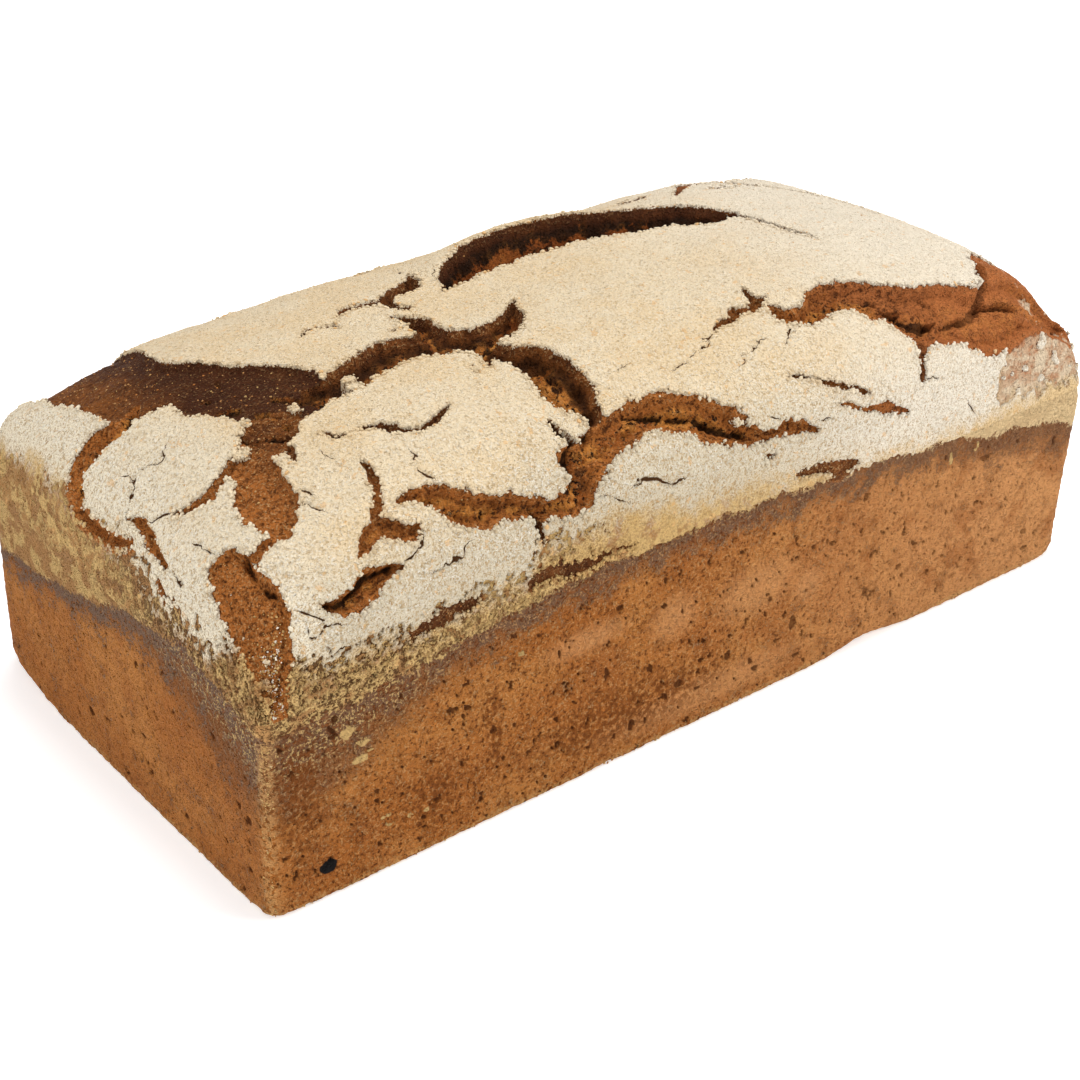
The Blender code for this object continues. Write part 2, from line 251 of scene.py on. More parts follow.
                                       (118, 58, 3.5), (124, 66, 2)]),
    "backRightSplit": (1.4, 1.0, 0.5, [(84, 42, 1.6), (88, 30, 1.4), (97, 20, 1.2), (101, 8, 0.9), (99, -4, 0.3)]),
    "rightEndSplit": (1.3, 1.0, 0.6, [(119, 4, 0.4), (122, 14, 1.2), (121, 26, 1.5), (124, 36, 0.8)]),
    "leftBackSplit": (1.2, 1.0, 0.5, [(-74, 74, 0.6), (-70, 64, 1.4), (-66, 55, 1.2), (-59, 48, 0.5)]),
}

# Bits of floury crust left standing inside the bare places, as (p, q, radius).
islands = [(-96.8, -18.7, 1.9), (-81, -14.3, 1.2), (-66.4, -12.6, 1.7), (-67.1, -15.6, 1.9), (-35.2, -48.3, 2.4),
           (-33.4, -49.8, 1.7), (3.6, -60.8, 1.2), (-44.8, -57.6, 1.6), (-92.6, -26.4, 1.3), (-92.3, -28.8, 1.1),
           (105.5, -65, 1.5), (-109.2, -36, 1.4),
           (-108.6, -39.6, 1.5), (7, -61.8, 0.8), (-48, -70, 0.9), (-126.6, -64.8, 1.7), (-121.6, -62, 0.8),
           (-123.4, -73.6, 1.2), (-119.4, -68.6, 0.7), (-126.8, -71.6, 1.0)]

# Narrow clefts inside the bare places, darkened with painted shade, as the depth and the line of (p, q, half width).
fissures = {
    "tearPitOne": (1.6, [(-91.2, -1.2, 0.5), (-90, -2.2, 1.1), (-89, -3, 0.7)]),
    "tearPitTwo": (1.2, [(-86.2, -8.4, 0.6), (-85, -9.4, 0.8)]),
    "tearPitThree": (1.0, [(-90.8, 6.4, 0.4), (-90, 5.4, 0.5)]),
    "tearPitFour": (1.0, [(-84.4, 11.2, 0.3), (-85, 9.2, 0.4)]),
    "tearPitFive": (0.8, [(-85.2, -12, 0.4), (-84.2, -12.8, 0.4)]),
    "tearPitSix": (1.0, [(-84.8, -16.2, 0.4), (-84.8, -17.4, 0.4)]),
    "tearSeam": (1.4, [(-80.5, -5.5, 0.3), (-78.3, -8.8, 0.8), (-76, -12, 0.7), (-73.8, -15.8, 1.2),
                       (-70.5, -17.6, 1.3), (-67.8, -18.6, 0.8)]),
    "plateFoot": (1.2, [(-95.5, -13.5, 0.3), (-93.3, -15.5, 0.6), (-89.5, -18.2, 0.5), (-85.8, -21.3, 0.4)]),
    "plateSide": (1.4, [(-108, 12.6, 0.5), (-106.8, 14.2, 0.8), (-104.6, 15.8, 0.4), (-102.8, 17.2, 0.8)]),
    "cornerCleft": (1.0, [(-112.4, -40.4, 0.3), (-113.3, -42.4, 0.6), (-113.6, -45.5, 0.2), (-113.4, -49.4, 0.5),
                          (-112, -52, 0.3)]),
    "cornerGroove": (0.5, [(-112.2, -54.5, 0.3), (-113.2, -58, 0.5), (-115.2, -62.5, 0.4), (-116.2, -66.5, 0.5),
                           (-118.2, -71, 0.4), (-119.2, -76, 0.4), (-120.4, -81, 0.3)]),
    "cornerTop": (1.0, [(-109.5, -36.4, 0.4), (-111.4, -38.2, 0.8)]),
    "middleSeam": (1.8, [(-70, -13.5, 0.5), (-64, -11.5, 0.9), (-58, -9.6, 0.8), (-52, -8.2, 1.1), (-46, -8.4, 0.8),
                         (-40, -11, 1.0), (-35, -13.8, 1.1), (-31, -15.6, 0.7)]),
    "dropSeam": (1.6, [(-33.5, -20, 0.8), (-31.5, -25, 1.0), (-28.5, -30, 0.9), (-28, -36, 0.6)]),
    "frontSeam": (1.6, [(-22, -51.3, 0.2), (-19.5, -51.9, 0.6), (-17, -52.5, 0.8), (-12.6, -54.3, 0.5),
                        (-9.5, -55.9, 0.15), (-6.5, -56.8, 0.5), (-3.6, -59.5, 0.9), (0.4, -62.8, 0.9),
                        (5.7, -64.8, 0.4)]),
    "flakeShade": (1.6, [(-42, -49, 0.5), (-39, -51, 1.2), (-35.6, -51.8, 1.2), (-33, -51.6, 0.5)]),
    "junctionSeam": (1.4, [(-39.6, -54.3, 0.6), (-41.3, -60.3, 0.6), (-41.4, -64, 0.5)]),
    "lensSeam": (1.2, [(-103, -62, 0.3), (-100, -64, 0.6), (-96, -63, 0.7), (-92, -62, 0.7), (-86.5, -62.4, 0.4)]),
    "rightPitOne": (1.8, [(55, -43.2, 0.5), (56.9, -43.7, 1), (58.4, -44.6, 0.5)]),
    "rightPitTwo": (1.6, [(57.4, -46.8, 0.5), (58.9, -47.6, 0.9), (60.9, -50, 0.7)]),
    "rightPitThree": (1.7, [(60.9, -51.4, 0.7), (63.4, -53.6, 1.3), (66.2, -55, 1.7), (69.4, -55.6, 0.9)]),
    "rightEndCleft": (2.0, [(97.2, -38.6, 0.6), (95, -42.6, 1.1), (91, -48, 1.3), (87.4, -53, 1.0), (83, -56, 1.2),
                            (77.5, -56.8, 0.7), (72, -57.2, 0.4)]),
    "lumpFoot": (1.2, [(88.4, -54.2, 0.7), (92.9, -55, 0.9), (96.4, -56, 0.7)]),
    "lumpSeam": (1.0, [(70.5, -47.4, 0.4), (72.4, -50.2, 0.5), (72.8, -52.8, 0.4)]),
}

# Broad swells of the top, as (p, q, reach along, reach across, height).
swells = [(-62, -35, 16, 14, 0.5), (20, -22, 40, 20, 0.4), (98, -52, 12, 10, 0.6), (-99, 50, 12, 26, -0.5),
          (92, 26, 34, 26, -0.9), (101, -43, 7, 6, 1.7), (97, -57, 6, 5, 1.5), (109, -47, 6, 7, 1.3),
          (-128, 18, 8, 14, 1.0), (-118, 58, 9, 14, 2.0)]
# Raised lips, as the reach to each side and the line of (p, q, height).
ridges = {"backLip": (8.0, [(-22, 24, 0.3), (-12, 27, 2.0), (-4, 30, 3.3), (6, 32, 3.9), (16, 32, 3.9), (26, 30, 3.4),
                            (35, 27, 2.8), (45, 24, 2.1), (54, 19, 1.2), (61, 13, 0.3)])}

# Thin splits drawn in the flour: lines of (p, q) with one width.
hairLines = {
    "besideLens": (0.30, [(-108.3, -59.8), (-106.3, -62.2), (-104.6, -64.2)]),
    "curl": (0.36, [(-108.8, -63.8), (-108.7, -65.8), (-106.5, -66.3), (-104, -65.8), (-101.6, -66.8)]),
    "lowLeft": (0.34, [(-104.5, -73.2), (-101, -72.4)]),
    "lensTail": (0.32, [(-85, -62.5), (-81, -61), (-77.8, -58.4)]),
    "belowSplit": (0.24, [(-78.5, -66.2), (-75, -66.2), (-71.5, -65.6), (-69, -64.2)]),
    "nearOne": (0.22, [(-96, -40.5), (-95.4, -42.2), (-94.6, -43.8)]),
    "nearTwo": (0.24, [(-94.4, -37.6), (-93.6, -39.8)]),
    "nearThree": (0.26, [(-71, -41), (-71.5, -44.2)]),
    "nearFour": (0.34, [(-72.6, -46), (-71, -49)]),
    "nearFive": (0.20, [(-85.4, -31), (-85.2, -36), (-84.4, -38.6)]),
    "leftOne": (0.26, [(-121, -4.2), (-117.5, -3), (-115, -1.4), (-112, -0.8), (-110, -1.8), (-108, -4), (-106, -1.8),
                       (-104.6, -1.4)]),
    "leftTwo": (0.24, [(-114.6, 2.2), (-114.2, -1)]),
    "leftThree": (0.26, [(-119.4, -12.4), (-116.4, -14.6), (-114.4, -17.6)]),
    "leftFour": (0.22, [(-116.6, -28), (-116.2, -33.8)]),
    "leftFive": (0.22, [(-124.6, -25), (-125.4, -29)]),
    "lowMiddle": (0.30, [(-51, -69), (-46.2, -70.4), (-41, -72.2)]),
    "middleOne": (0.26, [(-38.2, -65.4), (-34.8, -65), (-32.2, -66.4), (-30.2, -67.6)]),
    "middleTwo": (0.42, [(-27, -65.6), (-23.8, -65), (-20, -66.5), (-17, -67.9), (-14.6, -67.6)]),
    "rightOne": (0.20, [(-4.4, -45), (-2, -44.4), (0.4, -43.6), (3, -43.2), (6.4, -41.8), (8.4, -41.2)]),
    "rightTwo": (0.30, [(8.6, -39.8), (12, -39)]),
    "rightThree": (0.26, [(25.6, -48.4), (27.8, -46.8), (29.6, -45)]),
    "rightFour": (0.20, [(10.6, -50), (12.4, -49.2), (13.6, -47.8), (17, -46.8), (21, -45.4)]),
    "rightFive": (0.20, [(60.4, -67), (65.6, -67.8)]),
    "rightSix": (0.34, [(75.4, -76.2), (77.6, -79)]),
    "rightSeven": (0.18, [(26.6, -66.8), (30, -67.4)]),
    "crownOne": (0.16, [(-16.4, -39.8), (-13, -39.2)]),
    "belowCrack": (0.24, [(12.4, -62.2), (14.6, -63.2)]),
    "backOne": (0.24, [(-20.4, 20.6), (-17, 24.8)]),
    "backTwo": (0.26, [(-22.8, 31.6), (-20.2, 35.4)]),
}

# Lines round the loaf, by side: heights over the top of the wall at which the flour ends and the
# steam-darkened band begins, as (place along the side, height).
bandLines = {
    "front": {
        "flour": [(-120, 19), (-113, 17), (-108, 11.5), (-103, 8.5), (-92, 8), (-83, 6), (-72, 7.5), (-56, 8), (-50, 13), (-28, 13), (-12, 9), (10, 7.5),
                  (24, 6), (42, 3), (70, 1.5), (96, 3), (108, 6), (120, 4)],
        "dark": [(-120, -4), (-100, -3), (-85, -1), (-60, 2), (-35, 4), (0, 4), (40, 2.5), (70, 0), (85, -4),
                 (100, -5), (110, -8), (120, -12)],
    },
    "back": {
        "flour": [(-120, 9), (-80, 5), (-45, 9), (-10, 6), (30, 10), (70, 5), (120, 8)],
        "dark": [(-120, -9), (-80, -3), (-40, 1), (0, -2), (50, 2), (90, -3), (120, -8)],
    },
    "left": {
        "flour": [(-60, 19), (-53, 17), (-49, 14), (-44, 8), (-40, 6), (-29, 5.5), (-18, 6), (-8, 12), (8, 12.5), (17, 16), (60, 16)],
        "dark": [(-60, -4), (-57, -3), (-45, 0.5), (-34, 3), (-24, 1.5), (-10, 0), (6, -6), (28, -11), (45, -13),
                 (60, -14)],
    },
    "right": {
        "flour": [(-60, 5), (-40, 9), (-10, 6), (25, 10), (60, 7)],
        "dark": [(-60, -12), (-40, -6), (-10, -3), (30, -5), (60, -9)],
    },
}


def smoothLine(points, step=1.2):
    # Catmull-Rom curve through the points, cut into short even steps.
    pts = np.array(points, float)
    ends = np.vstack([2 * pts[0] - pts[1], pts, 2 * pts[-1] - pts[-2]])
    pieces = []
    for a, b, c, d in zip(ends[:-3], ends[1:-2], ends[2:-1], ends[3:]):
        count = max(2, int(np.hypot(*(c - b)[:2]) / step) + 1)
        t = np.linspace(0, 1, count, endpoint=False)[:, None]
        pieces.append(0.5 * (2 * b + (c - a) * t + (2 * a - 5 * b + 4 * c - d) * t**2
                             + (3 * b - a - 3 * c + d) * t**3))
    return np.vstack(pieces + [pts[-1:]])


def nearestOnLine(p, q, line):
    # Distance to a line of short straight steps, the side it lies on, and how far along the steps the nearest place is.
    best = np.full(p.shape, 1e9)
    side = np.ones(p.shape)
    place = np.zeros(p.shape)
    for k, (start, end) in enumerate(zip(line[:-1, :2], line[1:, :2])):
        dx, dy = end - start
        t = np.clip(((p - start[0]) * dx + (q - start[1]) * dy) / max(dx * dx + dy * dy, 1e-9), 0, 1)
        ax, ay = p - start[0] - t * dx, q - start[1] - t * dy
        away = ax * ax + ay * ay
        nearer = away < best
        best = np.where(nearer, away, best)
        side = np.where(nearer, np.sign(dx * ay - dy * ax), side)
        place = np.where(nearer, k + t, place)
    return np.sqrt(best), side, place


def aroundLine(p, q, points, margin):
    # The part of the grid near a line: the mask, the distance, the side and the line's third number there.
    line = smoothLine(points)
    reach = margin + (line[:, 2].max() if line.shape[1] > 2 else 0)
    low, high = line[:, :2].min(axis=0) - reach, line[:, :2].max(axis=0) + reach
    near = (p > low[0]) & (p < high[0]) & (q > low[1]) & (q < high[1])
    away, side, place = nearestOnLine(p[near], q[near], line)
    third = np.interp(place, np.arange(len(line)), line[:, 2]) if line.shape[1] > 2 else None
    return near, away, side, third


def crackField(p, q):
    # clear: distance outside the nearest crack edge, negative inside; sink: how far the cracks lower the crust;
    # tone: the tone of the crack that lies here; lee: 1 on the left of its line, where it undercuts, a mask for painted
    # shade; cleft: 1 in the narrow clefts, the mask of their painted shade. Edges are made ragged by layered noise and
    # by the flour's grains, the walls under them only by its broad part.
    clear = np.full(p.shape, 30.0)
    sink = np.zeros(p.shape)
    tone = np.full(p.shape, 0.5)
    lee, cleft = np.zeros(p.shape), np.zeros(p.shape)
    broad = 0.9 * layeredNoise(p, q, 3.8, 21, 2, 0.6)
    # The far cracks have cleaner edges.
    fringe = 0.45 * layeredNoise(p, q, 1.5, 25, 2, 0.6) + 0.65 * (grainField(p, q, 1.25, 23) - 0.6)
    ragged = broad + fringe * (1 - 0.6 * softStep(q, 12, 22))
    for depth, run, shade, points in cracks.values():
        near, away, side, width = aroundLine(p, q, points, 8)
        # Wide cracks are more ragged than thin ones.
        loose = np.clip(0.3 + width / 4, 0.2, 1)
        outside = away - width + ragged[near] * loose
        start = 0.4 * np.clip(width / 3, 0, 1)  # wide cracks keep a bare rim before they drop
        here = depth * softStep((width - away - broad[near] * loose - start) / run, -0.15, 0.85)
        takes = (outside < 1) & ((outside < clear[near]) | (here > sink[near]))
        tone[near] = np.where(takes, shade, tone[near])
        lee[near] = np.where(takes, softStep(side * away / (width + 0.3) + 0.3 * broad[near], -0.1, 0.6), lee[near])
        clear[near] = np.minimum(clear[near], outside)
        sink[near] = np.maximum(sink[near], here)
    for islandP, islandQ, radius in islands:
        away = np.hypot(p - islandP, q - islandQ) - radius + 0.6 * ragged
        clear = np.maximum(clear, -away)
        sink *= 1 - 0.75 * softStep(-away, -0.8, 0.6)
    for depth, points in fissures.values():
        near, away, _, width = aroundLine(p, q, points, 3)
        inside = softStep(width * 1.15 - away - 0.6 * ragged[near], -0.5, 0.5)
        sink[near] = sink[near] + 1.3 * depth * inside
        cleft[near] = np.maximum(cleft[near], inside * min(1, depth / 1.4))
    # Ledges run level along the deeper walls.
    sink = sink + 0.28 * np.sin(sink * 3.4 + 2.4 * layeredNoise(p, q, 9, 27, 2)) * softStep(sink, 1.2, 2.6)
    return {"clear": clear, "sink": sink, "tone": tone, "lee": lee, "cleft": cleft}


def hairField(p, q):
    # Signed distance across the nearest thin split, in widths of the split, so it is zero on its line.
    across = np.full(p.shape, 40.0)
    wobble = 0.6 * layeredNoise(p, q, 2.2, 41, 3, 0.6)
    opening = np.clip(0.65 + 1.0 * layeredNoise(p, q, 3.2, 45, 2), 0.10, 1.4)
    for width, points in hairLines.values():
        near, away, side, _ = aroundLine(p + wobble, q - wobble, points, 4)
        scaled = away * side / (width * opening[near])
        across[near] = np.where(np.abs(scaled) < np.abs(across[near]), scaled, across[near])
    return across


def bandField(toFront, toBack, toLeft, toRight, x, y, line):
    # Height over one of the band lines: the least, over the four sides, of the height less that side's line.
    sides = (("front", toFront, x), ("back", toBack, x), ("left", toLeft, y), ("right", toRight, y))
    rise = [height - np.interp(place, *np.array(bandLines[side][line]).T) for side, height, place in sides]
    return np.minimum.reduce(rise)


print("form and crack lines ready")


def makePiece(name, points, faces, attributes=None, normals=None):
    # Smooth-shaded mesh object from points in millimetres and quads; attributes are one number per point.
    mesh = bpy.data.meshes.new(name)
    faces = np.asarray(faces, np.int32)
    mesh.vertices.add(len(points))
    mesh.vertices.foreach_set("co", (np.asarray(points, np.float32) * mm).ravel())
    mesh.loops.add(faces.size)
    mesh.loops.foreach_set("vertex_index", faces.ravel())
    mesh.polygons.add(len(faces))
    mesh.polygons.foreach_set("loop_start", np.arange(0, faces.size, faces.shape[1], dtype=np.int32))
    mesh.update(calc_edges=True)
    mesh.polygons.foreach_set("use_smooth", np.full(len(faces), True))
    for label, values in (attributes or {}).items():
        layer = mesh.attributes.new(label, "FLOAT", "POINT")
        layer.data.foreach_set("value", np.asarray(values, np.float32).ravel())
    if normals is not None:
        mesh.normals_split_custom_set_from_vertices(normals.tolist())
    mesh.validate()
    piece = bpy.data.objects.new(name, mesh)
    bpy.context.scene.collection.objects.link(piece)
    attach(piece, "root")
    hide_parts("loaf")
    print(name + ":", len(faces), "faces")
    return piece


def gridFaces(rows, columns):
    # Quads of a grid whose point (i, j) is number i * columns + j, facing outwards on the dome.
    start = (np.arange(rows - 1)[:, None] * columns + np.arange(columns - 1)).ravel()
    return np.stack([start, start + columns, start + columns + 1, start + 1], axis=1)


def makeSheet(names, points, attributes, keep=None):
    # A grid of points over the dome, cut across its length into one piece for each name, shaded as one.
    shading = gridNormals(points).reshape(-1, 3)
    flat = points.reshape(-1, 3)
    faces = gridFaces(*points.shape[:2])
    column = faces[:, 0] // points.shape[1]
    cuts = np.linspace(0, points.shape[0] - 1, len(names) + 1).astype(int)
    pieces = []
    for name, first, last in zip(names, cuts[:-1], cuts[1:]):
        chosen = (column >= first) & (column < last)
        if keep is not None:
            chosen &= keep.ravel()[faces].any(axis=1)
        used, renumbered = np.unique(faces[chosen], return_inverse=True)
        values = {label: field.ravel()[used] for label, field in attributes.items()}
        pieces.append(makePiece(name, flat[used], renumbered.reshape(-1, 4), values, shading[used]))
    return pieces


def topGrid(cells):
    return np.meshgrid(np.linspace(-reachAlong, reachAlong, cells[0] + 1),
                       np.linspace(-reachAcross, reachAcross, cells[1] + 1), indexing="ij")


def swellField(p, q):
    # Gentle swelling of the plates: noise of a plate's size, swells as bell curves, and ridges as bells round a line.
    total = 0.5 * layeredNoise(p, q, 26, 51, 2) + 0.16 * layeredNoise(p, q, 7, 57, 2)
    for atP, atQ, reachP, reachQ, height in swells:
        total += height * np.exp(-((p - atP) / reachP) ** 2 - ((q - atQ) / reachQ) ** 2)
    for reach, points in ridges.values():
        line = smoothLine(points, 4)
        away, _, place = nearestOnLine(p, q, line)
        total += np.interp(place, np.arange(len(line)), line[:, 2]) * np.exp(-(away / reach) ** 2)
    return total


def bandMarks(sideways, x, y, noiseX, noiseY, seed):
    # bandRise: height over the line of the steam-darkened band. steam: 1 at that line, falling evenly to 0 below it
    # over a depth that is greatest toward the near corner.
    bandRise = bandField(*sideways, "dark") + 0.9 * layeredNoise(noiseX, noiseY, 9, seed, 4, 0.65)
    halfX, halfY = loaf["length"] / 2, loaf["width"] / 2
    depth = 10 + 14 * np.exp(-((x + halfX) ** 2 + (y + halfY) ** 2) / 36**2) + 4 * softStep(x, 60, 105)
    return {"bandRise": bandRise, "steam": np.clip(1 + bandRise / depth, 0, 1)}


def topFields(p, q):
    # All that the crust and the flour need to know at (p, q).
    points = domeSurface(p, q)
    toFront, toBack = reachAcross + q, reachAcross - q
    toLeft, toRight = reachAlong + p, reachAlong - p
    fields = crackField(p, q)
    clear, sink = fields["clear"], fields["sink"]
    sideways = (toFront, toBack, toLeft, toRight, points[..., 0], points[..., 1])
    rim = np.minimum.reduce([toFront, toBack, toLeft, toRight])
    torn = softStep(-clear + 1.1 * layeredNoise(p, q, 3.2, 63, 3, 0.6), 1.2, 2.4) * softStep(sink, 0.9, 2.0)
    torn *= (1 - 0.9 * fields["lee"]) * (1 - 0.75 * softStep(p, 40, 62))
    # Height of the crust over the dome before it cracked, then lowered by the cracks and roughened where it is torn.
    rough = (1.0 * layeredNoise(p, q, 3.2, 61, 4, 0.62) + 0.5 * (grainField(p, q, 1.9, 65) - 0.6)) * torn
    rough += 0.8 * layeredNoise(p, q, 5.5, 69, 3, 0.6) * softStep(sink, 1.0, 3.0) * (1 - 0.5 * softStep(p, 55, 75))
    rough += 1.2 * layeredNoise(p * 0.6, q * 1.2, 5.0, 66, 2) * softStep(sink, 3.0, 6.0)
    rough += 4.0 * (grainField(p * 0.8, q * 1.3, 7.0, 72) - 0.5) * softStep(sink, 2.8, 5.0)
    rough += 0.55 * fields["tone"] * layeredNoise(p, q, 1.7, 68, 2, 0.7) * softStep(-clear, 0.2, 1.2) * (1 - softStep(p, 50, 70))
    skin = 0.10 * layeredNoise(p, q, 1.5, 67, 2) * softStep(-clear, -1, 1)
    rounding = softStep(rim, 0, 7)
    level = (swellField(p, q) - loaf["coat"] + skin) * rounding
    # The coat is thin and patchy at the right front corner.
    thin = softStep(p - 84.5 - 0.55 * np.clip(q + 72, 0, 20), -1, 4) * softStep(-q, 54, 60)
    thin *= softStep(rim + 2.5 * layeredNoise(p, q, 4, 70, 3, 0.7), 1, 7)
    return {"points": points, **fields, **bandMarks(sideways, points[..., 0], points[..., 1], p, q, 37),
            "flourRise": bandField(*sideways, "flour") + 1.4 * layeredNoise(p, q, 7, 31, 3),
            "rim": rim, "torn": torn, "thin": thin, "level": level, "crust": level - (sink - rough) * rounding}


def buildTopCrust():
    # The dome moved along its normals by the height of the bare crust.
    p, q = topGrid(loaf["topCells"])
    fields = topFields(p, q)
    normals = gridNormals(fields["points"])
    points = fields["points"] + normals * fields["crust"][..., None]
    labels = ("clear", "sink", "tone", "torn", "lee", "cleft", "thin", "bandRise", "steam")
    attributes = {label: fields[label] for label in labels}
    pieces = makeSheet(("crustLeft", "crustRight"), points, attributes)
    ground = {"p": p, "q": q, "points": points, "normals": normals}
    return pieces, ground | {label: fields[label] for label in ("clear", "sink", "rim")}


crustPieces, crustGround = buildTopCrust()


walls = {
    "frontStep": 0.55, "backStep": 1.1, "rowStep": 0.6,  # size of the cells, mm
    "dent": 0.25,  # how far the walls fall short of the tin
    "poreCell": 2.3, "poreChance": 0.24, "poreSmallest": 0.20, "poreLargest": 0.75, "poreDepth": 0.6,
    "taper": 0.0, "baseEdge": 0.9,
}
# The largest pores of the front wall, as (x, z, half length, half height).
bigPores = [(-12.5, 13.5, 1.7, 1.2), (22.5, 16, 1.4, 2.5), (46.5, 15, 1.2, 1.7), (-26, 8, 1, 2), (-22, 7.5, 0.6, 1.5),
            (-34, 25, 0.7, 2.1), (-31, 40.5, 1.3, 0.9), (-18, 42.5, 0.7, 1.1), (-14.3, 43.2, 0.5, 1.2),
            (-5.5, 42.5, 0.8, 1), (-3.5, 17, 1, 0.9), (2.2, 15, 1.2, 1.6), (13.5, 27, 1, 1), (27, 34.5, 0.9, 1),
            (33, 33.5, 0.8, 0.8), (43, 42, 1, 1.4), (84.5, 39, 2.8, 1), (103.5, 11.5, 1.3, 1.2),
            (109.5, 35, 0.9, 1), (-64.5, 23.5, 1, 0.8), (-61.8, 15, 0.6, 1), (-75, 33, 1.6, 1), (-71, 31.8, 1.4, 0.6),
            (-100.8, 26.9, 0.8, 0.8), (-103.5, 39.2, 1.4, 0.9), (-93.6, 21.3, 0.8, 0.8), (-67.4, 7, 0.9, 1.2),
            (-78.5, 12.4, 1.4, 0.5), (-59, 22.4, 1.1, 0.7), (-55, 13.3, 0.9, 0.7), (11.5, 7.8, 1.6, 0.8),
            (17, 12.5, 2, 0.6), (59, 15, 0.8, 1.1), (57.5, 27.5, 0.8, 1), (68, 12.5, 0.8, 1.1)]
# Patches of the front wall, as (x, z, half length, half height): baked pale, baked dark, flakes of dry dough, a burn.
patches = {
    "pale": [(-40, 36, 10, 3), (-15, 32, 6, 5), (10, 30, 11, 6), (26, 25, 4, 4), (-5, 8, 26, 4)],
    "stain": [(-65, 30, 2.2, 6), (-64, 20, 1.6, 7), (-28, 13, 27, 7), (-80, 14, 8, 6), (-112, 28, 5, 14)],
    "flake": [(-100.3, 38.8, 1.9, 1.0), (-96.6, 35, 1.5, 0.9), (-97.6, 31.4, 2.0, 1.0), (-95.4, 32.2, 1, 0.5), (-98.4, 35, 0.7, 0.6), (-92, 14, 0.9, 0.6),
              (-90.6, 11.6, 1.1, 0.6), (-86, 11.6, 0.6, 0.5), (-82, 11, 0.8, 0.4), (71, 43, 0.8, 1.9),
              (80, 43.6, 0.8, 1.4), (-57.5, 40, 0.5, 0.6)],
    "burn": [(-106, 8, 2.1, 1.6)],
}
# Places round the base where the edge is worn or rounded more, as (x, y, reach, extra radius).
wornEdges = [(49, -60, 10, 3.6), (-120, -60, 7, 1.6), (-120, 58, 20, 7.5), (120, -60, 6, 3.5), (-33, -60, 5, 0.8)]


def wallPath():
    # The outline of the loaf as corner-rounded points, with finer steps on the front and left sides.
    halfX, halfY = loaf["length"] / 2, loaf["width"] / 2
    fine, coarse = walls["frontStep"], walls["backStep"]
    front = np.linspace(-halfX, halfX, int(2 * halfX / fine), endpoint=False)
    right = np.linspace(-halfY, halfY, int(2 * halfY / coarse), endpoint=False)
    back = np.linspace(halfX, -halfX, int(2 * halfX / coarse), endpoint=False)
    left = np.linspace(halfY, -halfY, int(2 * halfY / fine), endpoint=False)
    x = np.concatenate([front, np.full(len(right), halfX), back, np.full(len(left), -halfX)])
    y = np.concatenate([np.full(len(front), -halfY), right, np.full(len(back), halfY), left])
    return roundCorners(x, y)


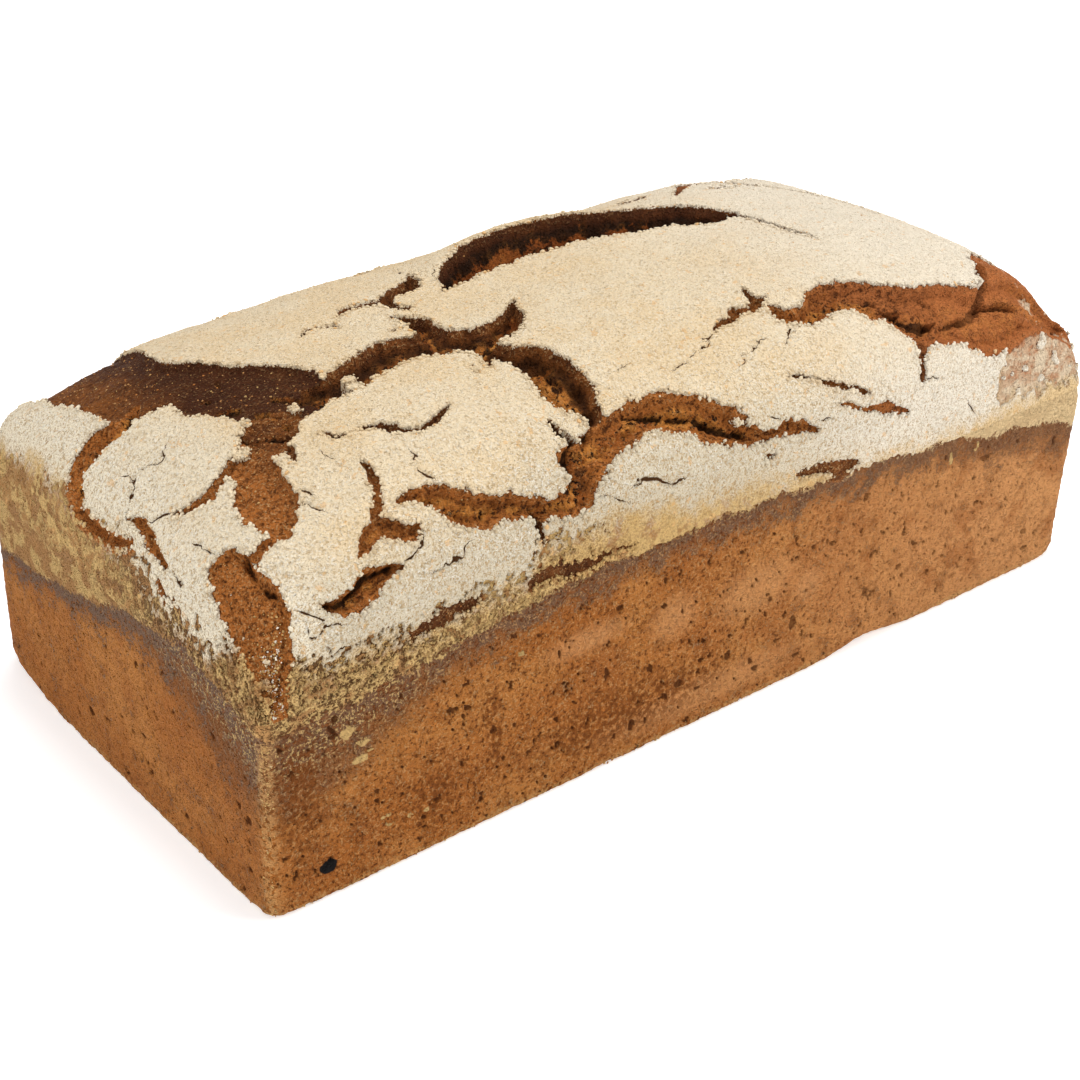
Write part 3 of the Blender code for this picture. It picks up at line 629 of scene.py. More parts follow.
def buildWalls():
    x, y = wallPath()
    count = len(x)
    tangent = np.stack([np.roll(x, -1) - np.roll(x, 1), np.roll(y, -1) - np.roll(y, 1)], axis=1)
    tangent /= np.linalg.norm(tangent, axis=1, keepdims=True)
    around = np.concatenate([[0], np.cumsum(np.hypot(np.diff(x), np.diff(y)))])

    top = loaf["wallHeight"]
    heights = np.concatenate([[top + 1.2], np.linspace(top, 0, int(top / walls["rowStep"]))])
    rows = len(heights)
    z = np.repeat(heights[:, None], count, axis=1)
    gridX, gridY, gridAround, outX, outY = (np.tile(v, (rows, 1)) for v in
                                            (x, y, around, tangent[:, 1], -tangent[:, 0]))
    body = softStep(top - z, 0, 5)

    # Pores, as scattered pits and the few large ones of the front wall, their outlines pulled about by noise.
    pullX, pullZ = (0.9 * layeredNoise(gridAround, z, 2.6, seed, 3, 0.7) for seed in (73, 75))
    pit = cellPits(gridAround + pullX, z + pullZ, walls["poreCell"], walls["poreChance"], walls["poreSmallest"],
                   walls["poreLargest"], 71)
    frontWall = gridY < -loaf["width"] / 2 + 1
    for poreX, poreZ, halfLength, halfHeight in bigPores:
        here = 1 - np.hypot((gridX + 0.5 * pullX - poreX) / halfLength, (z + 0.5 * pullZ - poreZ) / halfHeight)
        pit = np.where(frontWall, np.maximum(pit, here), pit)
    marks = {}
    for label, places in patches.items():
        pull = 0.2 if label == "burn" else 0.8
        away = [np.hypot((gridX + pull * pullX - atX) / halfLength, (z + pull * pullZ - atZ) / halfHeight)
                for atX, atZ, halfLength, halfHeight in places]
        marks[label] = np.clip(1.6 - 1.1 * np.minimum.reduce(away), 0, 1) * frontWall
    over, far = z - top, 40.0
    halfX, halfY = loaf["length"] / 2, loaf["width"] / 2
    sideways = (over + far * (gridY > -halfY + 6), over + far * (gridY < halfY - 6),
                over + far * (gridX > -halfX + 6), over + far * (gridX < halfX - 6), gridX, gridY)
    band = bandMarks(sideways, gridX, gridY, gridAround, z, 91)
    pore = softStep(pit, 0, 0.55) * body * softStep(-band["bandRise"], 0.5, 2)
    inward = walls["dent"] * (0.5 + 0.5 * layeredNoise(gridAround, z, 24, 81, 2)) * body
    inward += walls["poreDepth"] * pore
    inward += 0.16 * layeredNoise(gridAround, z, 2.0, 83, 3, 0.75) * body - 0.35 * softStep(marks["flake"], 0.3, 0.8)
    inward -= 1.0 * np.exp(-((z - 52) / 22) ** 2) * softStep(gridX, 108, 120) * body
    # The base edge is rounded, more so where it is worn.
    radius = walls["baseEdge"] * (1 + 0.4 * layeredNoise(around, around * 0, 9, 87, 3))
    for wornX, wornY, reach, extra in wornEdges:
        radius = radius + extra * np.exp(-((x - wornX) ** 2 + (y - wornY) ** 2) / reach**2)
    radius = np.tile(radius, (rows, 1))
    below = np.clip(radius - z, 0, None)
    edge = radius - np.sqrt(np.clip(radius**2 - below**2, 0, None))
    # The row above the wall tucks under the top crust.
    offset = -(inward + edge + 1.0 * (z > top + 0.1))
    points = np.stack([gridX + outX * offset, gridY + outY * offset, z], axis=-1)

    # The base: rings drawn in to a line along the middle.
    edgeX, edgeY = points[-1, :, 0], points[-1, :, 1]
    middle = np.clip(edgeX, -(loaf["length"] - loaf["width"]) / 2, (loaf["length"] - loaf["width"]) / 2)
    scales = np.linspace(1, 0, 9)[1:]
    base = [np.stack([middle + (edgeX - middle) * k, edgeY * k, edgeX * 0], axis=1) for k in scales]
    start = np.arange(rows + len(scales) - 1)[:, None] * count
    column, following = np.arange(count), (np.arange(count) + 1) % count
    faces = np.stack([start + column, start + count + column, start + count + following, start + following],
                     axis=-1).reshape(-1, 4)

    fields = {
        "bandRise": (band["bandRise"], -60),
        "steam": (band["steam"], 0),
        # pore: the pits, which the material also darkens as painted shade
        "pore": (pore, 0),
        # a pale line down the near upright corner: painted highlight on the edge, with tan crumbs
        "nearCorner": (np.exp(-((gridX + halfX) ** 2 + (gridY + halfY) ** 2) / 5), 0),
        "footing": (np.clip(1 - z / 2.4, 0, 1), 1),
        **{label: (field, 0) for label, field in marks.items()},
    }
    attributes = {label: np.concatenate([values.ravel(), np.full(len(scales) * count, fill)])
                  for label, (values, fill) in fields.items()}
    return makePiece("wallCrust", np.concatenate([points.reshape(-1, 3)] + base), faces, attributes)


wallCrust = buildWalls()


flour = {
    "edgeRound": 0.45,  # run over which the coat rises from the crust at its edge, mm
    "edgeThickness": 0.6,  # thickness just inside its edge
    "dive": 4.5,  # how steeply it dips under the crust outside its edge
    "grainSize": 0.9, "grainHeight": 0.20, "lumps": 0.22,
}


def buildFlour():
    # The coat as a sheet over the crust: thickness grows from nothing at its edge as a quarter circle, granules and
    # lumps stand on it, thin splits are bell-shaped grooves, and outside its edge it dips under the bare crust.
    p, q = topGrid(loaf["flourCells"])
    fields = topFields(p, q)
    rise, bandRise = fields["flourRise"], fields["bandRise"]
    lower = 1 - softStep(rise, 0, 12)
    # The coat breaks into clumps toward the near corner.
    clumps = softStep(-p, 10, 70) * (1 - softStep(rise, 0, 7)) * softStep(-q, -20, 30)
    thin = fields["thin"]
    pull = 0.5 * layeredNoise(p, q, 1.6, 111, 2)
    grain = np.maximum(grainField(p + pull, q - pull, flour["grainSize"], 113),
                       0.85 * grainField(p - pull, q + pull, 0.68, 117))
    patchy = layeredNoise(p, q, 2.0, 101, 3, 0.6)
    blotchy = layeredNoise(p, q, 5.0, 105, 2, 0.5)
    bandClear = 0.6 * bandRise + (0.3 + 0.7 * clumps) * patchy + 0.4 * (grain - 0.5)
    # It is worn through in patches low on the left end, and gives out toward the right front corner.
    worn = softStep(-p, 121, 127) * (1 - softStep(rise, 2, 10)) * softStep(q, -44, -34)
    drawn = layeredNoise(p * 0.85, q, 4.5, 121, 4, 0.7)
    clumpClear = (1.1 - 3.0 * clumps * np.clip(patchy + 0.3 - 0.5 * (grain - 0.6), 0, None) - 4.0 * worn * np.clip(drawn + 0.05, 0, None)
                  - 6.0 * np.clip(thin * (1 + blotchy) - 0.35, 0, None))
    pits = cellPits(p + pull, q, 1.9, 0.4, 0.2, 0.7, 103) * lower * (0.3 + clumps)
    clear = np.minimum.reduce([fields["clear"], bandClear, clumpClear, 0.9 - 1.5 * pits])
    inside = np.clip(clear / flour["edgeRound"], 0, 1)
    full = loaf["coat"] * (0.35 + 0.65 * softStep(rise, -2, 12))
    thickness = np.minimum(full, flour["edgeThickness"]) + np.clip(full - flour["edgeThickness"], 0, None) * \
        softStep(clear, 0.2, 3.5)
    height = thickness * (1 - 0.65 * worn) * np.sqrt(1 - (1 - inside) ** 2)
    across = hairField(p, q)
    lumps = flour["lumps"] * layeredNoise(p, q, 3.4, 107, 3, 0.65) * (0.6 + lower)
    granules = flour["grainHeight"] * (grain - 0.75) * (1 - 0.4 * softStep(p, 20, 70))
    relief = lumps * softStep(clear, 0.5, 3) + granules - 0.5 * np.exp(-across**2 / 2)
    height = height + relief * softStep(clear, -0.3, 0.6) * softStep(fields["rim"], 0, 5)
    # Plates stay level up to their edge and hang over the cracks.
    under = fields["crust"] + np.maximum(clear * flour["dive"], -1.8)
    height = np.where(clear > 0, fields["level"] + height, under)
    normals = gridNormals(fields["points"])
    points = fields["points"] + normals * height[..., None]
    attributes = {"clear": clear, "flourRise": rise, "across": across, "grain": grain, "clumps": clumps}
    keep = (clear > -0.1) & (fields["rim"] > 0.3)
    names = ("flourLeft", "flourMiddleLeft", "flourMiddleRight", "flourRight")
    pieces = makeSheet(names, points, attributes, keep)
    ground = {"points": points, "normals": normals, "rim": fields["rim"], "lee": fields["lee"],
              "crackClear": fields["clear"], **attributes}
    return pieces, ground


flourPieces, flourGround = buildFlour()


grains = {
    "spacing": 1.28, "small": (0.12, 0.27),  # grains all over the coat: one to a square, and their radii in mm
    "clumps": 7000, "large": (0.20, 0.62),  # granules along the edges
    "crumbs": 1000, "crumbSize": (0.12, 0.32),  # on the bare crust
    "cornerCrumbs": 420, "footCrumbs": 700,
}


def baseGrain(faces):
    # A corner for each grain before it is shaped: octahedron (8 faces) or icosahedron (20 faces) on the unit ball.
    if faces == 8:
        corners = np.array([(1, 0, 0), (0, 1, 0), (-1, 0, 0), (0, -1, 0), (0, 0, 1), (0, 0, -1)], float)
        return corners, np.array([(i, (i + 1) % 4, 4) for i in range(4)] + [((i + 1) % 4, i, 5) for i in range(4)])
    turn = np.arange(5) * 2 * np.pi / 5
    height, radius = 1 / math.sqrt(5), 2 / math.sqrt(5)
    upper = np.stack([radius * np.cos(turn), radius * np.sin(turn), np.full(5, height)], axis=1)
    lower = np.stack([radius * np.cos(turn + np.pi / 5), radius * np.sin(turn + np.pi / 5), np.full(5, -height)], axis=1)
    corners = np.vstack([(0, 0, 1), upper, lower, (0, 0, -1)])
    rings = [[(0, 1 + i, 1 + (i + 1) % 5), (1 + i, 6 + i, 1 + (i + 1) % 5), (1 + (i + 1) % 5, 6 + i, 6 + (i + 1) % 5),
              (11, 6 + (i + 1) % 5, 6 + i)] for i in range(5)]
    return corners, np.array(rings).reshape(-1, 3)


def scatterGrains(name, faces, places, normals, radii, attributes, seed):
    # Each grain: corners of the base solid pulled in and out at random, turned about the normal, flattened along it.
    rng = np.random.default_rng(seed)
    corners, triangles = baseGrain(faces)
    count = len(places)
    along = np.cross(normals, rng.normal(size=(count, 3)))
    along /= np.linalg.norm(along, axis=1, keepdims=True)
    across = np.cross(normals, along)
    shape = corners[None] * rng.uniform(0.7, 1.2, (count, len(corners), 1)) * radii[:, None, None]
    stretch = rng.uniform(0.75, 1.3, (count, 1, 1))
    points = (places[:, None] + shape[..., :1] * stretch * along[:, None] + shape[..., 1:2] / stretch * across[:, None]
              + 0.75 * shape[..., 2:] * normals[:, None])
    numbered = triangles[None] + (np.arange(count) * len(corners))[:, None, None]
    values = {label: np.repeat(field, len(corners)) for label, field in attributes.items()}
    values["shade"] = np.repeat(rng.uniform(0, 1, count), len(corners))
    return makePiece(name, points.reshape(-1, 3), numbered.reshape(-1, 3), values)


def pickGround(chosen, rng, sideways=0.15):
    # Places, normals and attributes of the flour's ground at chosen grid points, moved a little at random.
    places = flourGround["points"][chosen] + rng.uniform(-sideways, sideways, (len(chosen[0]), 3))
    attributes = {label: flourGround[label][chosen] for label in ("flourRise", "clumps")}
    return places, flourGround["normals"][chosen], attributes


def buildGrains():
    rng = np.random.default_rng(201)
    clear, rim = flourGround["clear"], flourGround["rim"]
    cells = clear.shape
    # One grain to a square, set at random within it.
    count = [int(2 * reach / grains["spacing"]) for reach in (reachAlong, reachAcross)]
    i = (np.arange(count[0])[:, None] + rng.uniform(0, 1, count)) / count[0] * (cells[0] - 1)
    j = (np.arange(count[1])[None, :] + rng.uniform(0, 1, count)) / count[1] * (cells[1] - 1)
    i, j = np.rint(i).astype(int).ravel(), np.rint(j).astype(int).ravel()
    on = (clear[i, j] > 0.25) & (rim[i, j] > 1.5) & (np.abs(flourGround["across"][i, j]) > 2)
    chosen = (i[on], j[on])
    places, normals, attributes = pickGround(chosen, rng)
    radii = rng.uniform(*grains["small"], len(places))
    places -= 0.3 * radii[:, None] * normals
    grainPiece = scatterGrains("flourGrains", 8, places, normals, radii, attributes, 203)

    # Larger granules crowd the broken edges.
    edge = np.argwhere((clear > -0.05) & (clear < 0.75) & (rim > 2) & (flourGround["crackClear"] < 1.2)
                       & (flourGround["lee"] < rng.uniform(0, 1.6, cells)))
    edge = edge[rng.choice(len(edge), min(grains["clumps"], len(edge)), replace=False)]
    places, normals, attributes = pickGround((edge[:, 0], edge[:, 1]), rng, 0.2)
    small, large = grains["large"]
    radii = small + (large - small) * rng.uniform(0, 1, len(places)) ** 2.2
    places += normals * np.where(clear[edge[:, 0], edge[:, 1]] < 0, 0.3, 0.0)[:, None]
    clumpPiece = scatterGrains("flourClumps", 20, places, normals, radii, attributes, 205)
    return [grainPiece, clumpPiece]


grainPieces = buildGrains()


def buildCrumbs():
    # Dry crumbs and specks of flour: on the bare crust, up the near upright edge, and along the foot of the loaf.
    rng = np.random.default_rng(211)
    p, q, clear = (crustGround[label] for label in ("p", "q", "clear"))
    low = softStep(-p, 108, 118) * softStep(-q, 44, 66)
    bare = (clear < -0.7) & (crustGround["rim"] > 1) & (crustGround["sink"] < 1.6) & (p < 50)
    weight = np.where(bare, 0.6 + 4 * low, 0).ravel()
    taken = rng.choice(weight.size, grains["crumbs"], replace=False, p=weight / weight.sum())
    chosen = np.unravel_index(taken, clear.shape)
    places, normals = crustGround["points"][chosen], crustGround["normals"][chosen]
    floury = np.clip(0.1 + 0.55 * low[chosen] + rng.normal(0, 0.25, len(places)), 0, 1)

    halfX, halfY, radius = loaf["length"] / 2, loaf["width"] / 2, loaf["cornerRadii"]["frontLeft"]
    angle = np.radians(225 + rng.normal(0, 13, grains["cornerCrumbs"]))
    away = np.stack([np.cos(angle), np.sin(angle), 0 * angle], axis=1)
    up = loaf["wallHeight"] * rng.uniform(0.02, 1.0, grains["cornerCrumbs"])
    corner = np.array([radius - halfX, radius - halfY, 0]) + away * (radius - 0.3) + up[:, None] * (0, 0, 1)
    # Foot crumbs sit just inside the rounded base edge, most on the front.
    along = rng.uniform(-1, 1, (2, grains["footCrumbs"])) * np.array([[halfX - 8], [halfY - 6]])
    onFront = (rng.uniform(0, 1, grains["footCrumbs"]) < 0.7) | (along[1] > 25)
    along[0] = np.where(np.abs(along[0] - 49) < 22, along[0] - 60, along[0])  # none where the edge is worn away
    side = np.where(onFront[:, None], (0, -1, 0), (-1, 0, 0))
    height = rng.uniform(0.35, 1.6, grains["footCrumbs"]) ** 1.3
    foot = np.where(onFront[:, None], np.stack([along[0], 0 * height - halfY, height], axis=1),
                    np.stack([0 * height - halfX, along[1], height], axis=1)) - side * 0.45
    places = np.concatenate([places, corner, foot])
    normals = np.concatenate([normals, away, side])
    floury = np.concatenate([floury, rng.uniform(0.25, 0.7, len(corner)), rng.uniform(0.15, 0.6, len(foot))])
    small, large = grains["crumbSize"]
    radii = small + (large - small) * rng.uniform(0, 1, len(places)) ** 2
    return scatterGrains("dryCrumbs", 20, places, normals, radii, {"floury": floury}, 213)


dryCrumbs = buildCrumbs()


class Value:
    # One output socket of a material. Arithmetic on it adds Math nodes.
    def __init__(self, maker, socket):
        self.maker, self.socket = maker, socket

    def maths(self, operation, first, second=None):
        inputs = {0: first} if second is None else {0: first, 1: second}
        return self.maker.node("ShaderNodeMath", {"operation": operation}, inputs)

    def __add__(self, other):
        return self.maths("ADD", self, other)

    __radd__ = __add__

    def __mul__(self, other):
        return self.maths("MULTIPLY", self, other)

    __rmul__ = __mul__

    def __sub__(self, other):
        return self.maths("SUBTRACT", self, other)

    def __rsub__(self, other):
        return self.maths("SUBTRACT", other, self)

    def __truediv__(self, other):
        return self.maths("DIVIDE", self, other)

    def __pow__(self, other):
        return self.maths("POWER", self, other)

    def __abs__(self):
        return self.maths("ABSOLUTE", self)


class Maker:
    # Builds one material.
    def __init__(self, name):
        self.material = bpy.data.materials.new(name)
        self.material.use_nodes = True
        self.tree = self.material.node_tree
        self.tree.nodes.clear()
        self.noises = {}  # each noise is made once and used again

    def node(self, kind, settings=None, inputs=None, output=0):
        # Any node: its settings first, then the values or links of its sockets.
        made = self.tree.nodes.new(kind)
        for label, value in (settings or {}).items():
            setattr(made, label, value)
        for label, value in (inputs or {}).items():
            socket = made.inputs[label]
            if isinstance(value, Value):
                self.tree.links.new(value.socket, socket)
            elif isinstance(value, tuple) and len(value) == 3 and len(socket.default_value) == 4:
                socket.default_value = (*value, 1)
            else:
                socket.default_value = value
        return Value(self, made.outputs[output]) if made.outputs else None

    def attribute(self, label):
        return self.node("ShaderNodeAttribute", {"attribute_name": label}, None, "Fac")

    def place(self, stretch=None):
        where = self.node("ShaderNodeTexCoord", None, None, "Object")
        if stretch:
            where = self.node("ShaderNodeMapping", None, {"Vector": where, "Scale": stretch})
        return where

    def noise(self, size, detail=3.0, roughness=0.55, stretch=None):
        # Noise whose features are about "size" millimetres, from 0 to 1.
        key = (size, detail, roughness, stretch)
        if key not in self.noises:
            self.noises[key] = self.node("ShaderNodeTexNoise", {"noise_dimensions": "3D"},
                                         {"Vector": self.place(stretch), "Scale": 1000 / size, "Detail": detail,
                                          "Roughness": roughness}, "Fac")
        return self.noises[key]

    def cells(self, size, output="Distance"):
        return self.node("ShaderNodeTexVoronoi", {"feature": "F1"},
                         {"Vector": self.place(), "Scale": 1000 / size}, output)

    def ramp(self, value, low, high, fromValue=0.0, toValue=1.0):
        # Smooth change from one number to another as the value goes from low to high.
        return self.node("ShaderNodeMapRange", {"interpolation_type": "SMOOTHSTEP"},
                         {"Value": value, "From Min": low, "From Max": high, "To Min": fromValue, "To Max": toValue})

    def mix(self, factor, first, second, blend="MIX"):
        return self.node("ShaderNodeMix", {"data_type": "RGBA", "blend_type": blend, "clamp_factor": True},
                         {0: factor, 6: first, 7: second}, 2)

    def bump(self, height, distance, strength=1.0, under=None):
        inputs = {"Height": height, "Distance": distance, "Strength": strength}
        if under:
            inputs["Normal"] = under
        return self.node("ShaderNodeBump", None, inputs)

    def finish(self, colour, roughness, normal, settings):
        inputs = {"Base Color": colour, "Roughness": roughness, "Normal": normal, **settings}
        shader = self.node("ShaderNodeBsdfPrincipled", None, inputs, "BSDF")
        self.node("ShaderNodeOutputMaterial", None, {"Surface": shader})
        return self.material


bakedLook = {
    "light": (0.49, 0.190, 0.046), "middle": (0.39, 0.128, 0.026), "dark": (0.19, 0.055, 0.010),
    "right": (0.66, 0.312, 0.118), "ruddy": (0.30, 0.085, 0.018), "speck": (0.66, 0.35, 0.13),
    "pore": (0.095, 0.028, 0.007), "band": (0.165, 0.088, 0.050), "plum": (0.20, 0.078, 0.030),
    "leftBand": (0.165, 0.108, 0.078),
    "damp": (0.60, 0.385, 0.150), "dampDark": (0.12, 0.055, 0.020), "dampPale": (0.74, 0.53, 0.28),
    "dampBrown": (0.36, 0.165, 0.060), "burn": (0.010, 0.009, 0.009),
    "nearCorner": (-0.120, -0.0604, 0.047),  # the steam reaches lowest round this place, metres
}


def bakedColour(m, bandRise, steam):
    # The baked sides: patches of browns, paler to the right (partly painted light), painted shade in the hollows of
    # the bumps, pale on the grains, small pores darkened with painted shade; then the band darkened by steam, and the
    # damp floury strip over it. The left end is plainer.
    look = bakedLook
    coarse, fine, patch = m.noise(1.2, 3, 0.65), m.noise(0.5, 2, 0.6), m.noise(6, 3, 0.65)
    along = m.node("ShaderNodeSeparateXYZ", None, {0: m.place()})
    sharp = m.ramp(along, -0.1198, -0.113, 0.4, 1) * m.ramp(along, -0.01, 0.07, 1, 0.45)
    away = m.node("ShaderNodeVectorMath", {"operation": "DISTANCE"}, {0: m.place(), 1: look["nearCorner"]}, "Value")
    colour = m.mix(m.ramp(m.noise(22, 2), 0.38, 0.62), look["middle"], look["light"])
    # Paler to the right: partly a paler bake, partly painted light from the lamp's side.
    colour = m.mix(m.ramp(along, -0.03, 0.10, 0, 0.8), colour, look["right"])
    colour = m.mix(m.ramp(m.noise(11, 3, 0.6), 0.50, 0.66, 0, 0.5), colour, look["ruddy"])
    colour = m.mix(m.ramp(patch, 0.50, 0.64, 0, 0.35), colour, look["dark"])
    colour = m.mix(m.ramp(along, -0.1185, -0.1198, 0, 0.10), colour, look["right"])
    blotch = (patch - 0.5) * 2.4 + (coarse - 0.5) * 2.6 + (fine - 0.5) * 1.8
    plum = m.ramp(steam + blotch * 0.4 + m.ramp(away, 0.060, 0.012, 0, 0.45), 0.15, 0.85, 0, 0.85)
    colour = m.mix(plum, colour, look["plum"])
    grey = m.mix(m.ramp(along, -0.1198, -0.1185), look["leftBand"], look["band"])
    grey = m.mix(m.ramp(steam + blotch, 0.44, 0.84, 0, 0.85) * m.ramp(along, 0.03, 0.09, 1, 0.5), colour, grey)
    # Painted shade in the hollows of the bumps.
    colour = m.mix(m.ramp(coarse, 0.50, 0.34, 0, 0.55) * sharp, grey, look["dark"])
    colour = m.mix(m.ramp(fine + (coarse - 0.5) * 0.6, 0.53, 0.68, 0, 0.5) * sharp, colour, look["speck"])
    # Painted shade in small pores.
    colour = m.mix(m.ramp(fine + (coarse - 0.5) * 0.9, 0.37, 0.29, 0, 0.75) * sharp, colour, look["pore"])
    damp = m.mix(m.ramp(along, -0.02, 0.06), look["damp"], look["dampPale"])
    leftEnd = m.ramp(along, -0.111, -0.118)
    damp = m.mix(m.ramp(patch + leftEnd * 0.07, 0.50, 0.60, 0, 0.8) * m.ramp(along, 0.06, -0.02, 0.2, 1), damp, look["dampBrown"])
    gaps = m.ramp(fine + (coarse - 0.5) * 1.2, 0.58, 0.44) * m.ramp(away, 0.075, 0.030, 0.12, 0.95)
    damp = m.mix(gaps, damp, look["dampDark"])
    caught = m.ramp(fine + (coarse - 0.5) * 0.8, 0.56, 0.63, 0, 0.85) * m.ramp(steam, 0.35, 0.8) * m.ramp(away, 0.050, 0.022)
    colour = m.mix(caught, colour, look["damp"])
    line = m.ramp(bandRise + (patch - 0.5) * 3 + (coarse - 0.5) * 4 + (fine - 0.5) * 2, -0.6, 0.5)
    return m.mix(line, colour, damp)


def roughRelief(m, coarse, fine, height=1.0):
    # Bumps of about a millimetre with finer ones on them.
    relief = m.bump(m.noise(coarse, 3, 0.65), 0.0018 * height)
    return m.bump(m.noise(fine, 2, 0.6), 0.0008 * height, 1.0, relief)


def wallMaterial():
    m = Maker("ryeWall")
    look = bakedLook
    coarse = m.noise(1.2, 3, 0.65)
    colour = bakedColour(m, m.attribute("bandRise"), m.attribute("steam"))
    colour = m.mix(m.attribute("pale") * 0.55, colour, look["right"])
    colour = m.mix(m.attribute("stain") * m.ramp(coarse, 0.60, 0.46) * 0.8, colour, look["dark"])
    # Pale line down the near upright corner: painted highlight on the edge, with tan crumbs.
    colour = m.mix(m.attribute("nearCorner") * m.ramp(coarse, 0.42, 0.52) * 0.9, colour, look["speck"])
    colour = m.mix(m.attribute("footing") * m.ramp(coarse, 0.44, 0.54) * 0.8, colour, look["damp"])
    along = m.node("ShaderNodeSeparateXYZ", None, {0: m.place()})
    # Painted shade in the pores.
    colour = m.mix(m.ramp(m.attribute("pore"), 0.10, 0.55) * m.ramp(along, -0.03, 0.07, 0.9, 0.55), colour, look["pore"])
    colour = m.mix(m.ramp(m.attribute("flake"), 0.35, 0.7), colour, look["damp"])
    colour = m.mix(m.ramp(m.attribute("burn"), 0.4, 0.6), colour, look["burn"])
    return m.finish(colour, 0.75, roughRelief(m, 1.2, 0.5), {"Specular IOR Level": 0.05})


crustLook = {
    "dark": (0.060, 0.018, 0.0065), "light": (0.45, 0.150, 0.033), "russet": (0.46, 0.150, 0.045),
    "speck": (0.56, 0.33, 0.145), "amber": (0.64, 0.25, 0.050), "brown": (0.34, 0.100, 0.020),
    "deep": (0.022, 0.009, 0.004), "brick": (0.25, 0.066, 0.014), "blush": (0.60, 0.39, 0.240),
    "dust": (0.82, 0.66, 0.46),
}


def crustMaterial():
    m = Maker("ryeCrust")
    look = crustLook
    labels = ("clear", "sink", "tone", "torn", "lee", "cleft", "thin", "bandRise", "steam")
    clear, sink, tone, torn, lee, cleft, thin, bandRise, steam = (m.attribute(label) for label in labels)
    coarse, fine, patch = m.noise(1.2, 3, 0.65), m.noise(0.5, 2, 0.6), m.noise(6, 3, 0.65)
    along = m.node("ShaderNodeSeparateXYZ", None, {0: m.place()})

    # Skin of the bare crust, from smooth and dark to light, with painted shade in the hollows of its bumps and in fine
    # pits, and flour caught on its grains.
    light = m.mix(m.ramp(along, 0.03, 0.06), look["light"], look["russet"])
    right = m.ramp(along, 0.060, 0.078)
    shade = tone + m.ramp(along, -0.088, -0.104, 0, 0.35) + (patch - 0.5) * (tone * 0.9 + 0.4) * (1 - right * 0.5)
    colour = m.mix(m.ramp(shade, 0.05, 0.95), look["dark"], light)
    colour = m.mix(m.ramp(coarse, 0.50, 0.36, 0, 0.6) * (1 - right * 0.85), colour, look["dark"])
    colour = m.mix(m.ramp(fine + (coarse - 0.5) * 0.9, 0.44, 0.36, 0, 0.6) * tone * (1 - right), colour, look["dark"])
    speckled = m.ramp(fine + (coarse - 0.5) * 0.5, 0.56, 0.66, 0, 0.55) * m.ramp(sink, 2.0, 1.0) * m.ramp(tone, 0.1, 0.4, 0.35, 1)
    colour = m.mix(speckled * m.ramp(along, 0.05, 0.03, 0.3, 1), colour, look["speck"])
    # Down the walls it is dark skin, nearly black on the far side and brick brown on the near side, except at the right
    # end; painted shade deepens it with the depth and under the far lip.
    shaded = lee * m.ramp(sink, 4.6, 6.4, 0.30, 0)
    under = m.mix(m.ramp(patch + (coarse - 0.5) * 0.7 - shaded, 0.30, 0.50), look["deep"], look["brick"])
    colour = m.mix(m.ramp(sink, 1.4, 3.4) * (1 - right * 0.93) * (1.12 - tone), colour, under)
    # Torn crumb in the middle of the deeper cracks, with painted shade in the hollows of its bumps.
    crumb = m.mix(m.ramp(patch, 0.42, 0.58), look["brown"], look["amber"])
    crumb = m.mix(m.ramp(coarse, 0.49, 0.39), crumb, look["deep"])
    crumb = m.mix(m.ramp(fine, 0.54, 0.64, 0, 0.35), crumb, look["speck"])
    colour = m.mix(torn, colour, crumb)
    # Painted shade in the narrow clefts.
    colour = m.mix(m.ramp(cleft + (fine - 0.5) * 0.4, 0.3, 0.8, 0, 0.9) * (1 - right * 0.4), colour, look["deep"])
    # Flour lies in a few soft patches at the right end.
    settled = m.ramp(m.noise(4, 4, 0.6), 0.55, 0.64, 0, 0.8) * m.ramp(along, 0.099, 0.105)
    colour = m.mix(settled, colour, look["dust"])
    # Away from the cracks it is baked like the sides; at the right front corner it is blushed and dusted with flour.
    dusted = m.mix(m.ramp(coarse, 0.36, 0.52, 0.2, 0.9), light, look["blush"])
    dusted = m.mix(m.ramp(m.noise(4, 4, 0.6), 0.44, 0.60, 0.1, 0.85), dusted, look["dust"])
    baked = m.mix(thin, bakedColour(m, bandRise, steam), dusted)
    colour = m.mix(m.ramp(clear, 0.8, 1.8), colour, baked)
    return m.finish(colour, 0.62, roughRelief(m, 1.2, 0.5), {"Specular IOR Level": 0.05})


flourLook = {
    "cream": (0.775, 0.600, 0.375), "pale": (0.79, 0.645, 0.440), "white": (0.84, 0.755, 0.620),
    "leftWhite": (0.85, 0.750, 0.575),
    "lowWhite": (0.67, 0.580, 0.430), "salt": (0.84, 0.790, 0.700),
    # On the next line, the tan after the fleck is painted shade between the grains; it is also the tone of the darker
    # loose grains.
    "fleck": (0.74, 0.43, 0.17), "tanAndShade": (0.44, 0.28, 0.125), "damp": (0.64, 0.42, 0.17),
    "dampDark": (0.20, 0.09, 0.030), "under": (0.16, 0.055, 0.014), "gap": (0.075, 0.032, 0.012),
}


